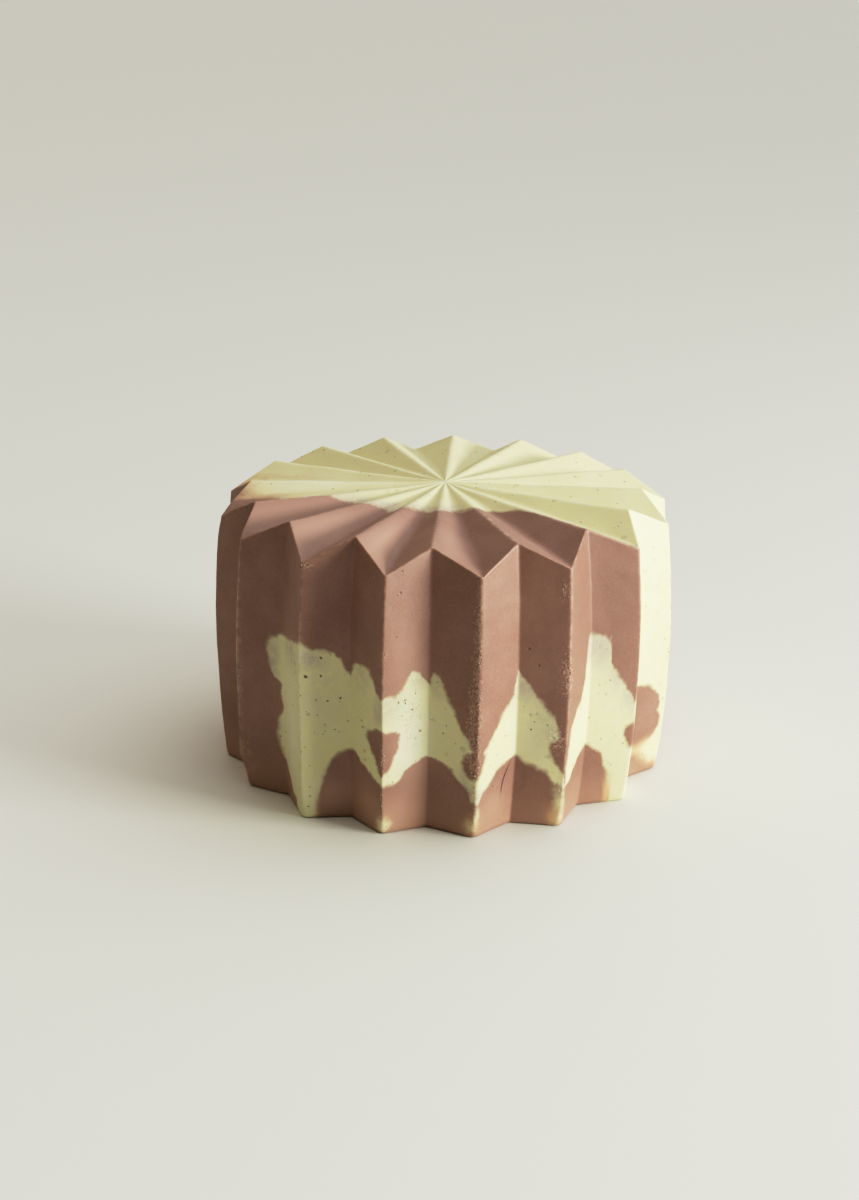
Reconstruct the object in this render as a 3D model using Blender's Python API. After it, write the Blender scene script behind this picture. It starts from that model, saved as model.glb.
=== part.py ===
"""A paskha: curd dessert, pressed in a pleated mould and turned out, as one closed solid.

Metres, +Z up. The base stands on z = 0 with the middle of the star at the origin. Azimuths are in
degrees, 0 along -Y and growing towards +X. Pleat k has its ridge at azimuth k * PLEAT, and the fold
between pleats k and k + 1 lies half a pleat further on.
"""

import math

import bpy
import numpy as np

# Size of the whole body.
PLEATS = 16
CROWN_HEIGHT = 0.0865  # middle of the top, where every fold meets
FOLD_TOP = 0.0858  # rim height over the inner folds
RIDGE_TOP = 0.0784  # rim height over the outer ridges

# Barrel of the wall: radius at the base, at the widest height and at the rim.
RIDGE_RADII = (0.0685, 0.0707, 0.0690)
FOLD_RADII = (0.0606, 0.0629, 0.0597)
RIDGE_WIDEST, FOLD_WIDEST = 0.55, 0.50  # shares of the height

# Edges: the mould is crisp above, and the curd has settled round at the foot.
RIDGE_ROUND = 0.0008
FOLD_ROUND = 0.0010
FOOT_ROUND = 0.0022  # what the ridge's rounding grows to at the base
FOOT_HEIGHT = 0.0140  # height over which it does
BASE_EDGE = 0.0012  # rounding between the wall and the base
RIM_EDGE = 0.0006  # bevel between the wall and the top

# How the soft body departs from an even star. Keys are pleat numbers, left of the front one below 0.
TWIST = 0.8  # degrees that the rim is turned against the base
RIDGE_TURN = {-7: -0.5, -5: 0.4, -3: -1.0, -2: 1.0, -1: 0.1, 1: -0.4, 2: 0.4, 3: 0.4, 6: 0.5}
FOLD_TURN = {-7: -0.6, -6: -0.5, -3: -0.6, -2: 0.2, -1: -0.8, 1: 0.1, 2: -0.3, 4: -0.6, 6: 0.5}
RIM_SLUMP = {-1: 0.0013, 0: 0.0009, 1: 0.0005}  # inner corners of the rim that sank
BELLY_SWING = 0.0002  # slow waver of the wall in and out
FOOT_SHIFT = (-0.0006, -0.0010)  # how far the foot has crept along X and Y, under the weight above
CREEP_SHARE = 0.35  # share of the height over which it has

# Worn and torn places: azimuth, height, depth and reach.
DENTS = (
    (-66.5, 0.0784, 0.0005, 0.0030),  # blunted rim corners
    (-89.5, 0.0784, 0.0006, 0.0040),
    (113.0, 0.0784, 0.0010, 0.0030),
    (-69.0, 0.0005, 0.0014, 0.0080),  # broken foot of a ridge
    (158.0, 0.0008, 0.0012, 0.0050),
)
BUMPS = ((-68.5, 0.0125, 0.0006, 0.0040),)  # a smear of curd that the mould pulled out

# Mesh.
WALL_HEIGHTS = (0.0030, 0.0060, 0.0100, 0.0150, 0.0210, 0.0280, 0.0350, 0.0420, 0.0490, 0.0560,
                0.0620, 0.0670, 0.0710, 0.0745)  # rows of the wall, as heights at a ridge
TOP_RINGS = (0.96, 0.88, 0.72, 0.50, 0.28, 0.10)  # rings of the top, as shares of the radius
EDGE_STEPS = 3  # rows of the rounded base edge

CURD_COLOUR = (0.42, 0.25, 0.17, 1.0)
CURD_ROUGHNESS = 0.55

PLEAT = 360.0 / PLEATS


def clear_scene():
    """Remove every object, so that the model stands alone."""
    for thing in list(bpy.data.objects):
        bpy.data.objects.remove(thing)


def barrel(radii, widest, share):
    """Radius at a share of the height: a parabola below the widest height and another above it."""
    base, belly, rim = radii
    if share < widest:
        return belly - (belly - base) * ((widest - share) / widest) ** 2
    return belly - (belly - rim) * ((share - widest) / (1.0 - widest)) ** 2


def signed(pleat):
    """Pleat number from -PLEATS/2 + 1 to PLEATS/2."""
    return pleat if pleat <= PLEATS // 2 else pleat - PLEATS


def polar(radius, azimuth, height):
    """Point at a radius and an azimuth in degrees."""
    angle = math.radians(azimuth)
    return np.array((radius * math.sin(angle), -radius * math.cos(angle), height))


def star_corners(share):
    """The star's corners at a share of the height: ridge 0, fold 0, ridge 1, fold 1 and so on."""
    corners = []
    turn = TWIST * (share - 0.5)
    for pleat in range(PLEATS):
        key = signed(pleat)
        waver = BELLY_SWING * math.sin(2.0 * key + 5.0 * share)
        ridge_azimuth = pleat * PLEAT + turn + RIDGE_TURN.get(key, 0.0)
        ridge_radius = barrel(RIDGE_RADII, RIDGE_WIDEST, share) + waver
        corners.append(polar(ridge_radius, ridge_azimuth, share * RIDGE_TOP))
        fold_azimuth = (pleat + 0.5) * PLEAT + turn + FOLD_TURN.get(key, 0.0)
        fold_radius = barrel(FOLD_RADII, FOLD_WIDEST, share) - waver
        fold_top = FOLD_TOP - RIM_SLUMP.get(key, 0.0)
        corners.append(polar(fold_radius, fold_azimuth, share * fold_top))
    corners = np.array(corners)
    corners[:, :2] += np.array(FOOT_SHIFT) * max(0.0, 1.0 - share / CREEP_SHARE) ** 2
    return corners


def rounded_outline(corners, ridge_round, fold_round):
    """The star as a ring of points: three on the arc at each corner and one in each face.

    A corner's arc touches both faces at radius / tan(half angle) from the corner.
    """
    before = np.roll(corners, 1, axis=0) - corners
    after = np.roll(corners, -1, axis=0) - corners
    before /= np.linalg.norm(before, axis=1)[:, None]
    after /= np.linalg.norm(after, axis=1)[:, None]
    half = 0.5 * np.arccos(np.clip((before * after).sum(axis=1), -1.0, 1.0))
    radius = np.where(np.arange(len(corners)) % 2 == 0, ridge_round, fold_round)
    reach = (radius / np.tan(half))[:, None]
    inward = before + after
    inward /= np.linalg.norm(inward, axis=1)[:, None]
    crest = corners + inward * (radius * (1.0 / np.sin(half) - 1.0))[:, None]
    face = 0.5 * (corners + np.roll(corners, -1, axis=0))
    ring = np.stack((corners + before * reach, crest, corners + after * reach, face), axis=1)
    return ring.reshape(-1, 3)


def ridge_round_at(height):
    """Rounding of a ridge, which grows towards the foot."""
    foot = max(0.0, 1.0 - height / FOOT_HEIGHT)
    return RIDGE_ROUND + (FOOT_ROUND - RIDGE_ROUND) * foot**2


def wall_ring(height):
    """Ring of the wall at a height, measured at the ridges."""
    corners = star_corners(height / RIDGE_TOP)
    return rounded_outline(corners, ridge_round_at(height), FOLD_ROUND)


def drawn_in(ring, inset):
    """The ring moved towards the axis."""
    radius = np.linalg.norm(ring[:, :2], axis=1)
    moved = ring.copy()
    moved[:, :2] *= (1.0 - inset / radius)[:, None]
    return moved


def base_edge_rings():
    """Rings of the quarter round between the base and the wall, from the floor upwards."""
    rings = []
    for step in range(EDGE_STEPS):
        angle = 0.5 * math.pi * step / EDGE_STEPS
        height = BASE_EDGE * (1.0 - math.cos(angle))
        ring = drawn_in(wall_ring(height), BASE_EDGE * (1.0 - math.sin(angle)))
        ring[:, 2] = height
        rings.append(ring)
    return rings


def top_rings():
    """Rings of the pleated top: the rim drawn together towards the crown, so each fold stays straight."""
    rim = wall_ring(RIDGE_TOP)
    crown = np.array((0.0, 0.0, CROWN_HEIGHT))
    bevel_share = 1.0 - RIM_EDGE / RIDGE_RADII[2]
    return [crown + share * (rim - crown) for share in (bevel_share, *TOP_RINGS)]


def push(points, azimuth, height, depth, reach):
    """Move the wall in by depth round one place, fading as a bell curve over reach."""
    centre = polar(RIDGE_RADII[2], azimuth, height)
    share = np.exp(-((points - centre) ** 2).sum(axis=1) / reach**2)
    radius = np.linalg.norm(points[:, :2], axis=1)
    points[:, :2] *= (1.0 - depth * share / np.maximum(radius, reach))[:, None]
    slump = 0.5 * depth * share * (points[:, 2] > 0.5 * height) * (height > 0.5 * RIDGE_TOP)
    points[:, 2] -= slump


def body_points():
    """Every ring from the base to the crown, then the middles of the base and of the top."""
    rim_start = RIDGE_TOP - RIM_EDGE
    rings = base_edge_rings()
    rings += [wall_ring(height) for height in (BASE_EDGE, *WALL_HEIGHTS, rim_start)]
    rings += top_rings()
    points = np.concatenate(rings)
    on_base = points[:, 2] < 1e-6
    for dent in DENTS:
        push(points, *dent)
    for azimuth, height, depth, reach in BUMPS:
        push(points, azimuth, height, -depth, reach)
    points[on_base, 2] = 0.0
    middles = np.array(((0.0, 0.0, 0.0), (0.0, 0.0, CROWN_HEIGHT)))
    return np.concatenate((points, middles)), len(rings), len(rings[0])


def body_faces(ring_count, ring_size):
    """Two triangles for each cell between rings, and a fan at the base and at the crown."""
    base_middle = ring_count * ring_size
    crown = base_middle + 1
    last = (ring_count - 1) * ring_size
    faces = []
    for column in range(ring_size):
        following = (column + 1) % ring_size
        faces.append((base_middle, following, column))
        faces.append((crown, last + column, last + following))
        for row in range(ring_count - 1):
            low = row * ring_size
            high = low + ring_size
            faces.append((low + column, low + following, high + following))
            faces.append((low + column, high + following, high + column))
    return faces


def curd_material():
    """Plain curd: matt, slightly moist."""
    material = bpy.data.materials.new("curd")
    material.use_nodes = True
    shader = material.node_tree.nodes["Principled BSDF"]
    shader.inputs["Base Color"].default_value = CURD_COLOUR
    shader.inputs["Roughness"].default_value = CURD_ROUGHNESS
    shader.inputs["Metallic"].default_value = 0.0
    return material


def make_paskha():
    """The whole dessert as one object."""
    points, ring_count, ring_size = body_points()
    mesh = bpy.data.meshes.new("paskha")
    mesh.from_pydata(points.tolist(), [], body_faces(ring_count, ring_size))
    mesh.validate()
    mesh.materials.append(curd_material())
    mesh.shade_smooth()
    mesh.set_sharp_from_angle(angle=math.radians(25.0))
    paskha = bpy.data.objects.new("paskha", mesh)
    bpy.context.scene.collection.objects.link(paskha)
    return paskha


clear_scene()
make_paskha()
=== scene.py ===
# %% [markdown]
# # A marbled paskha, turned out of a pleated mould
# A paskha is a festive dessert of curd, butter and cream that is pressed in a mould until it is firm
# enough to stand. This one was poured in two colours, cocoa and vanilla, which ran into each other.
# The lesson builds its skin as one fine mesh worked out with numpy, draws the marbling on it as a
# number at each point, and leaves the fine grain to the material.

import bpy
import numpy as np
from mathutils import Matrix, Vector


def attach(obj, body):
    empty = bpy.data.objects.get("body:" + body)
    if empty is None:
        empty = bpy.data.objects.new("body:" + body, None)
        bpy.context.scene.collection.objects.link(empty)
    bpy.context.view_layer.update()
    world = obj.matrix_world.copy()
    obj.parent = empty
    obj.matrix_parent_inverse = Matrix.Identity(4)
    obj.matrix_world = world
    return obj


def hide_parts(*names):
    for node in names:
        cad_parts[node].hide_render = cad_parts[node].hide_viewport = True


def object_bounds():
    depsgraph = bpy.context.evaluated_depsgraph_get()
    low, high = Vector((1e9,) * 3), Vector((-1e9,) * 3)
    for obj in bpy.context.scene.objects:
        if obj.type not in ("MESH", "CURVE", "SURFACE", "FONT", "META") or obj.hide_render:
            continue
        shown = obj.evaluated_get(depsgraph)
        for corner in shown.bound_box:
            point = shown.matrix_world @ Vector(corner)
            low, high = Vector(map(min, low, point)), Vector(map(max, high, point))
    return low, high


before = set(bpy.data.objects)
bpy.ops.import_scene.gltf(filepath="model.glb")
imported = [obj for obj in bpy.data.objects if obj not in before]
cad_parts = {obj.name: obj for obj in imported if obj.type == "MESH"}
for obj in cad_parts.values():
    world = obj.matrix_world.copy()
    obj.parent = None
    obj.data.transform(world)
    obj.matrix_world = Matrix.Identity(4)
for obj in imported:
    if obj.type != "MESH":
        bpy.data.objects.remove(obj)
cad_low, cad_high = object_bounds()
MM = 0.001
print("solid measures", [round((b - a) / MM, 1) for a, b in zip(cad_low, cad_high)], "mm")

# %% [markdown]
# ## The star
# The mould is a drum of sixteen upright pleats. Seen from above, its outline runs from an outer
# ridge in to a fold and out to the next ridge, so it has thirty-two corners. Every corner is a line
# up the wall, and between two corners the wall is flat. A place on the skin is then two numbers: `u`,
# which counts corners round the star (0 is the front ridge, 1 the fold to its right, 2 the next
# ridge), and a share of the height. That is far shorter than a list of points, and any fineness of
# mesh can be read from it.

# %% Sizes of the mould
PLEATS = 16
CORNERS = 2 * PLEATS
CROWN = cad_high.z  # where every fold of the top meets
FOLD_TOP = CROWN - 0.7 * MM  # rim height over the inner folds
RIDGE_TOP = CROWN - 8.1 * MM  # rim height over the outer ridges
RIDGE_RADII = (68.5 * MM, 70.7 * MM, 69.0 * MM)  # at the base, at the widest height, at the rim
FOLD_RADII = (60.6 * MM, 62.9 * MM, 59.7 * MM)
RIDGE_WIDEST, FOLD_WIDEST = 0.55, 0.50  # shares of the height
TWIST = 0.8  # degrees between the foot and the rim
RIDGE_TURN = {-7: -0.5, -5: 0.4, -3: -1.0, -2: 1.0, -1: 0.1, 1: -0.4, 2: 0.4, 3: 0.4, 6: 0.5}
FOLD_TURN = {-7: -0.6, -6: -0.5, -3: -0.6, -2: 0.2, -1: -0.8, 1: 0.1, 2: -0.3, 4: -0.6, 6: 0.5}
RIM_SLUMP = {-1: 1.3 * MM, 0: 0.9 * MM, 1: 0.5 * MM}  # folds whose rim corner sank
FOOT_SHIFT = np.array((-0.6, -1.0)) * MM  # the foot crept under the weight above
CREEP_SHARE = 0.35
BELLY_SWING = 0.2 * MM


def per_corner(ridge_values, fold_values):
    """Values for the 32 corners from two short dictionaries; pleats left out have 0."""
    pleats = np.arange(PLEATS)
    pleats = np.where(pleats > PLEATS // 2, pleats - PLEATS, pleats)
    pairs = [(ridge_values.get(k, 0.0), fold_values.get(k, 0.0)) for k in pleats.tolist()]
    return np.array(pairs).ravel()


CORNER_TURN = per_corner(RIDGE_TURN, FOLD_TURN)
CORNER_TOP = np.where(np.arange(CORNERS) % 2 == 0, RIDGE_TOP, FOLD_TOP) - per_corner({}, RIM_SLUMP)
print("corners stand", np.round(np.unique(CORNER_TOP) / MM, 1), "mm high")


# %% Corner lines of the wall
def barrel(radii, widest, share):
    """Radius: belly - (belly - end) * (distance from the widest height, as a share of its side)^2."""
    base, belly, rim = radii
    below = belly - (belly - base) * ((widest - share) / widest) ** 2
    above = belly - (belly - rim) * ((share - widest) / (1.0 - widest)) ** 2
    return np.where(share < widest, below, above)


def corner_line(corner, share):
    """Point of a corner at a share of the height: (r sin a, -r cos a, share * top)."""
    corner = corner % CORNERS
    ridge = corner % 2 == 0
    pleat = corner // 2
    signed = np.where(pleat > PLEATS // 2, pleat - PLEATS, pleat)
    waver = BELLY_SWING * np.sin(2.0 * signed + 5.0 * share)
    radius = np.where(ridge, barrel(RIDGE_RADII, RIDGE_WIDEST, share) + waver,
                      barrel(FOLD_RADII, FOLD_WIDEST, share) - waver)
    angle = np.radians(corner * 360.0 / CORNERS + TWIST * (share - 0.5) + CORNER_TURN[corner])
    creep = np.clip(1.0 - share / CREEP_SHARE, 0.0, None) ** 2
    x = radius * np.sin(angle) + FOOT_SHIFT[0] * creep
    y = -radius * np.cos(angle) + FOOT_SHIFT[1] * creep
    return np.stack((x, y, share * CORNER_TOP[corner]), axis=-1)


front_ridge = corner_line(np.array([0]), np.array([1.0]))[0]
print("the front ridge ends at", np.round(front_ridge / MM, 1), "mm")

# %% [markdown]
# ## Soft corners
# A real pleat isn't as sharp as a crease in paper: the mould's own corners are a little round, and
# curd wears at its edges. One formula rounds them all. Near a corner, the two faces are mixed by
# a ramp that bends from 0 to a straight line, which draws a parabola that touches both faces.

# %% Rounding
RIDGE_ROUND = 0.8 * MM
FOLD_ROUND = 1.0 * MM
FOOT_ROUND = 2.2 * MM
FOOT_HEIGHT = 14.0 * MM
MOST_OF_A_FACE = 0.45  # share of a face that one rounding may take
RUBBED = per_corner({0: 0.7 * MM, 1: 0.2 * MM}, {})  # ridges that were rubbed rounder than the rest


def length(vectors):
    """Lengths along the last axis, kept as a column."""
    return np.linalg.norm(vectors, axis=-1, keepdims=True)


def ramp(x, reach):
    """0 below -reach, x above reach, and (x + reach)^2 / (4 reach) between, which joins them softly."""
    return np.where(x > reach, x, np.where(x < -reach, 0.0, (x + reach) ** 2 / (4.0 * reach)))


def soft_corner(corner, before, after, x, radius):
    """corner + after * ramp(x) + before * ramp(-x): x is the signed way from the corner."""
    to_before = (before - corner) / length(before - corner)
    to_after = (after - corner) / length(after - corner)
    cosine = np.clip((to_before * to_after).sum(-1, keepdims=True), -1.0, 1.0)
    reach = radius / np.tan(0.5 * np.arccos(cosine))
    reach = np.minimum(reach, MOST_OF_A_FACE * np.minimum(length(before - corner), length(after - corner)))
    return corner + to_after * ramp(x, reach) + to_before * ramp(-x, reach)


def pleated(u, line, ridge_radius, fold_radius):
    """Point at u on the star whose corner j lies at line(j): the nearest corner, softly rounded."""
    near = np.floor(u + 0.5).astype(int)
    corner, before, after = line(near), line(near - 1), line(near + 1)
    way = (u - near)[..., None]
    x = way * np.where(way > 0, length(after - corner), length(before - corner))
    radius = np.where((near % 2 == 0)[..., None], ridge_radius, fold_radius)
    return soft_corner(corner, before, after, x, radius)


def wall(u, share):
    """The upright wall at u and a share of the height."""
    foot = np.clip(1.0 - share * RIDGE_TOP / FOOT_HEIGHT, 0.0, None) ** 2
    rubbed = RUBBED[np.floor(u + 0.5).astype(int) % CORNERS] * (1.0 - foot)
    ridge_radius = (RIDGE_ROUND + (FOOT_ROUND - RIDGE_ROUND) * foot + rubbed)[..., None]
    return pleated(u, lambda j: corner_line(j, share), ridge_radius, FOLD_ROUND)


rubbed_ridge = wall(np.array([0.0]), np.array([0.5]))[0]
sharp_ridge = corner_line(np.array([0]), np.array([0.5]))[0]
print("rounding takes", round(float(np.linalg.norm(rubbed_ridge - sharp_ridge)) / MM, 2), "mm off a ridge")

# %% [markdown]
# ## The folded top
# On top, each pleat becomes a fold that runs to the crown: high over the inner folds, low over the
# outer ridges. Each corner of the rim is joined to the crown by a straight line, so the same function
# of `u` draws the top, with the height share replaced by the way out from the crown.

# %% Top surface
TOP_ROUND = 2.0 * MM  # ribs of the top, which are softer than the wall's
RIM_BLEND = 0.08  # share of the way over which one rounding becomes the other
crown_point = np.array((0.0, 0.0, CROWN))


def top(u, way):
    """crown + way * (rim corner - crown), rounded: way is 0 at the crown and 1 at the rim."""
    blend = np.clip((1.0 - way) / RIM_BLEND, 0.0, 1.0)[..., None]
    rim = np.ones_like(way)
    line = lambda j: crown_point + way[..., None] * (corner_line(j, rim) - crown_point)
    ridge_radius = RIDGE_ROUND + (TOP_ROUND - RIDGE_ROUND) * blend
    fold_radius = FOLD_ROUND + (TOP_ROUND - FOLD_ROUND) * blend
    return pleated(u, line, ridge_radius, fold_radius)


print("the top rises", round((CROWN - CORNER_TOP.min()) / MM, 1), "mm from its lowest corner to the crown")

# %% [markdown]
# ## One grid for the whole skin
# The skin is a stack of closed rings: the rounded edge at the base, the wall, the edge of the rim and
# the top. All rings have the same columns, so the stack is one grid with no seam, and the mesh follows
# from it without any joining. Columns gather at the corners, where the form bends.

# %% The grid
FACE_COLUMNS = 24  # columns from one corner to the next
CROWDING = 0.75  # how much the columns gather at the corners, where the form bends
WALL_ROWS = 88
RIM_ROWS = 5
TOP_ROWS = 24
BASE_EDGE = 1.2 * MM
RIM_EDGE = 0.6 * MM
EDGE_ROWS = 4
EDGE_REACH = 1.4  # rings of the wall and of the top stop this many edge widths from the rim
CROWN_HOLE = 0.02  # share of the way at which the rings of the top stop
WALL_STEP = 0.004  # share of the height used to read the wall's direction at the rim

steps = np.arange(FACE_COLUMNS) / FACE_COLUMNS
crowded = steps - CROWDING * np.sin(2.0 * np.pi * steps) / (2.0 * np.pi)
columns = (np.arange(CORNERS)[:, None] + crowded[None, :]).ravel()
columns = np.where(columns >= PLEATS, columns - CORNERS, columns)


def row(value):
    """One value for every column."""
    return np.full_like(columns, value)


def base_edge(step):
    """Quarter round under the wall: in by e (1 - sin a) and up by e (1 - cos a)."""
    angle = 0.5 * np.pi * step / EDGE_ROWS
    height = BASE_EDGE * (1.0 - np.cos(angle))
    ring = wall(columns, row(height / RIDGE_TOP))
    radius = length(ring[:, :2])
    ring[:, :2] *= 1.0 - BASE_EDGE * (1.0 - np.sin(angle)) / radius
    ring[:, 2] = height
    return ring


def rim_edge(way):
    """The edge between wall and top: the same soft corner, from -RIM_EDGE on the wall to RIM_EDGE."""
    corner = wall(columns, row(1.0))
    below = wall(columns, row(1.0 - WALL_STEP))
    inside = top(columns, row(1.0 - WALL_STEP))
    to_below = (below - corner) / length(below - corner)
    to_inside = (inside - corner) / length(inside - corner)
    return corner + to_inside * ramp(way, RIM_EDGE) + to_below * ramp(-way, RIM_EDGE)


wall_shares = np.linspace(BASE_EDGE / RIDGE_TOP, 1.0 - EDGE_REACH * RIM_EDGE / RIDGE_TOP, WALL_ROWS)
top_ways = np.linspace(1.0 - EDGE_REACH * RIM_EDGE / RIDGE_RADII[2], CROWN_HOLE, TOP_ROWS)
rings = [base_edge(step) for step in range(EDGE_ROWS)]
rings += [wall(columns, row(share)) for share in wall_shares]
rings += [rim_edge(way) for way in np.linspace(-RIM_EDGE, RIM_EDGE, RIM_ROWS)]
rings += [top(columns, row(way)) for way in top_ways]
skin = np.stack(rings)
first_wall_row = EDGE_ROWS
first_top_row = EDGE_ROWS + WALL_ROWS + RIM_ROWS // 2
print("skin of", skin.shape[0], "by", skin.shape[1], "points")

# %% [markdown]
# ## Relief
# Pressed curd is never quite even. A slow waver of a tenth of a millimetre keeps the flat faces from
# looking machined, and places where the mould tore the curd are pushed in or pulled out. The waver is
# a sum of sine waves in random directions, which is smooth, seamless and the same on every run.

# %% Dents
DENTS = (  # azimuth in degrees, height, depth and reach: worn rim corners and a broken foot
    (-66.5, 78.4 * MM, 0.5 * MM, 3.0 * MM),
    (-89.5, 78.4 * MM, 0.6 * MM, 4.0 * MM),
    (113.0, 78.4 * MM, 1.0 * MM, 3.0 * MM),
    (-69.0, 0.5 * MM, 1.4 * MM, 8.0 * MM),
    (158.0, 0.8 * MM, 1.2 * MM, 5.0 * MM),
    (-68.5, 12.5 * MM, -0.6 * MM, 4.0 * MM),
)
SINK = 0.5  # how far a worn rim corner sinks, as a share of the depth of its dent
TOUCHING = 1e-7  # metres above the floor, under which a point lies on it


def place(radius, azimuth, height):
    """Point from a radius, an azimuth in degrees and a height."""
    angle = np.radians(azimuth)
    return np.array((radius * np.sin(angle), -radius * np.cos(angle), height))


on_floor = skin[..., 2] < TOUCHING
for azimuth, height, depth, reach in DENTS:
    share = np.exp(-length(skin - place(RIDGE_RADII[2], azimuth, height))[..., 0] ** 2 / reach**2)
    radius = np.maximum(length(skin[..., :2])[..., 0], reach)
    skin[..., :2] *= (1.0 - depth * share / radius)[..., None]
    if height > 0.5 * RIDGE_TOP:
        skin[..., 2] -= SINK * depth * share
print(len(DENTS), "dents, the deepest", round(max(dent[2] for dent in DENTS) / MM, 1), "mm")


# %% Waver
WAVE_SPREAD = (0.7, 1.5)  # shortest and longest waves, as shares of the given size
SLOW_WAVER, QUICK_WAVER = (0.07 * MM, 18.0 * MM, 3), (0.015 * MM, 5.0 * MM, 4)  # height, length, seed


def waves(points, size, seed, count=20):
    """Smooth random waver of about unit height: sum of sin(2 pi p.d / length + phase) / sqrt(count/2)."""
    rng = np.random.default_rng(seed)
    directions = rng.normal(size=(count, 3))
    directions /= length(directions)
    lengths = size * rng.uniform(*WAVE_SPREAD, count)
    phases = rng.uniform(0.0, 2.0 * np.pi, count)
    turns = points @ (directions * (2.0 * np.pi / lengths)[:, None]).T + phases
    return np.sin(turns).sum(axis=-1) * np.sqrt(2.0 / count)


def skin_normals(points):
    """Outward normals: the cross product of the steps along and across the grid."""
    across = np.roll(points, -1, axis=1) - np.roll(points, 1, axis=1)
    along = np.gradient(points, axis=0)
    normals = np.cross(across, along)
    return normals / np.maximum(length(normals), 1e-12)


normals = skin_normals(skin)
relief = sum(height * waves(skin, size, seed) for height, size, seed in (SLOW_WAVER, QUICK_WAVER))
skin += normals * relief[..., None]
skin[on_floor, 2] = 0.0
skin = np.clip(skin, np.array(cad_low), np.array(cad_high))
print("relief from", round(relief.min() / MM, 2), "to", round(relief.max() / MM, 2), "mm")

# %% [markdown]
# ## Marbling
# The two curds met in soft tongues: the vanilla band dips to a point on each ridge and climbs in each
# fold. The line above and the line below the band are heights against `u`, and a place is vanilla
# between them. What the materials need isn't yes or no but the distance to the line, because that lets
# them draw a soft edge of any width. Small waves shift each place before it is looked up, so the lines
# come out ragged like real ones.

# %% Lines of the marbling
FACE_WIDTH = 15.0  # mm along the wall from a ridge to a fold, for distances on the unrolled wall
UPPER_LINE = np.array((  # u, height in mm: vanilla below, cocoa above
    (-16.0, 82.0), (-14.5, 87.0), (-10.4, 87.0), (-10.0, 30.0), (-9.0, -6.0), (-6.2, -6.0),
    (-5.46, 42.0), (-5.26, 50.4), (-5.0, 52.0), (-4.5, 52.3), (-4.0, 54.8), (-3.8, 53.3), (-3.3, 51.7),
    (-3.15, 50.0), (-3.0, 45.8), (-2.9, 48.3), (-2.8, 49.8), (-2.4, 49.5), (-2.3, 47.1),
    (-2.05, 41.7), (-1.7, 42.9), (-1.55, 45.0), (-1.33, 49.5), (-1.25, 48.9), (-1.0, 45.0),
    (-0.9, 48.6), (-0.8, 47.5), (-0.65, 43.3), (-0.35, 32.5), (-0.05, 25.0), (0.1, 25.6),
    (0.2, 27.0), (0.6, 35.3), (0.95, 41.7), (1.0, 48.5), (1.1, 45.8), (1.2, 43.7),
    (1.4, 39.5), (1.75, 33.3), (1.85, 27.0), (1.92, 19.0), (2.02, 12.0), (2.1, 25.0),
    (2.2, 30.4), (2.6, 36.7), (2.75, 40.8), (2.85, 50.6), (2.95, 54.0), (3.3, 53.7),
    (3.4, 51.2), (3.45, 43.7), (3.7, 38.1), (3.95, 31.5), (4.05, 33.0), (4.5, 58.0), (4.85, 87.0),
    (16.0, 87.0)))
LOWER_LINE = np.array((  # u, height in mm: vanilla above, cocoa below
    (-16.0, 38.0), (-15.6, 39.5), (-15.3, 47.0), (-15.0, 52.0), (-14.5, 50.5), (-14.2, 42.0),
    (-14.0, 40.0), (-13.5, 52.0), (-13.0, 58.0), (-12.7, 57.0), (-12.4, 51.5), (-12.0, 50.0),
    (-11.4, 63.0), (-11.0, 70.0),
    (-10.6, 73.0), (-10.3, 80.0), (-9.0, 95.0), (-6.2, 95.0),
    (-5.9, -6.0), (-3.78, -6.0), (-3.7, 3.3), (-3.6, 11.7), (-3.4, 18.7), (-3.2, 21.4),
    (-3.0, 23.3), (-2.8, 22.1), (-2.4, 17.8), (-2.2, 16.2), (-2.0, 14.8), (-1.7, 15.6),
    (-1.5, 18.9), (-1.3, 21.4), (-1.0, 23.1), (-0.8, 22.4), (-0.6, 20.8), (-0.25, 15.2),
    (-0.14, 11.8), (0.08, 11.3), (0.2, 14.2), (0.6, 20.0), (1.0, 22.1), (1.2, 19.8), (1.6, 17.3),
    (1.95, 12.5), (2.3, 13.3), (2.6, 17.9), (3.0, 19.8), (3.2, 18.3), (3.35, 16.7),
    (3.45, 13.1), (3.6, 4.8), (3.68, -6.0), (4.9, -6.0), (5.0, 8.0), (5.3, 9.0),
    (5.7, 3.5), (6.0, 2.0), (6.3, 6.0), (6.7, 18.5), (7.0, 22.0), (7.4, 20.5),
    (7.8, 12.0), (8.0, 9.0), (8.4, 18.0), (8.7, 31.0), (9.0, 35.0), (9.5, 32.5),
    (9.9, 22.0), (10.1, 19.0), (10.5, 33.0), (11.0, 42.0), (11.3, 41.0), (11.6, 34.5),
    (12.0, 27.0), (12.3, 31.0), (12.6, 45.0), (13.0, 50.0), (13.5, 45.5), (13.8, 33.0),
    (14.0, 30.0), (14.5, 42.0), (15.0, 44.5), (15.6, 44.0), (16.0, 38.0)))
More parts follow.
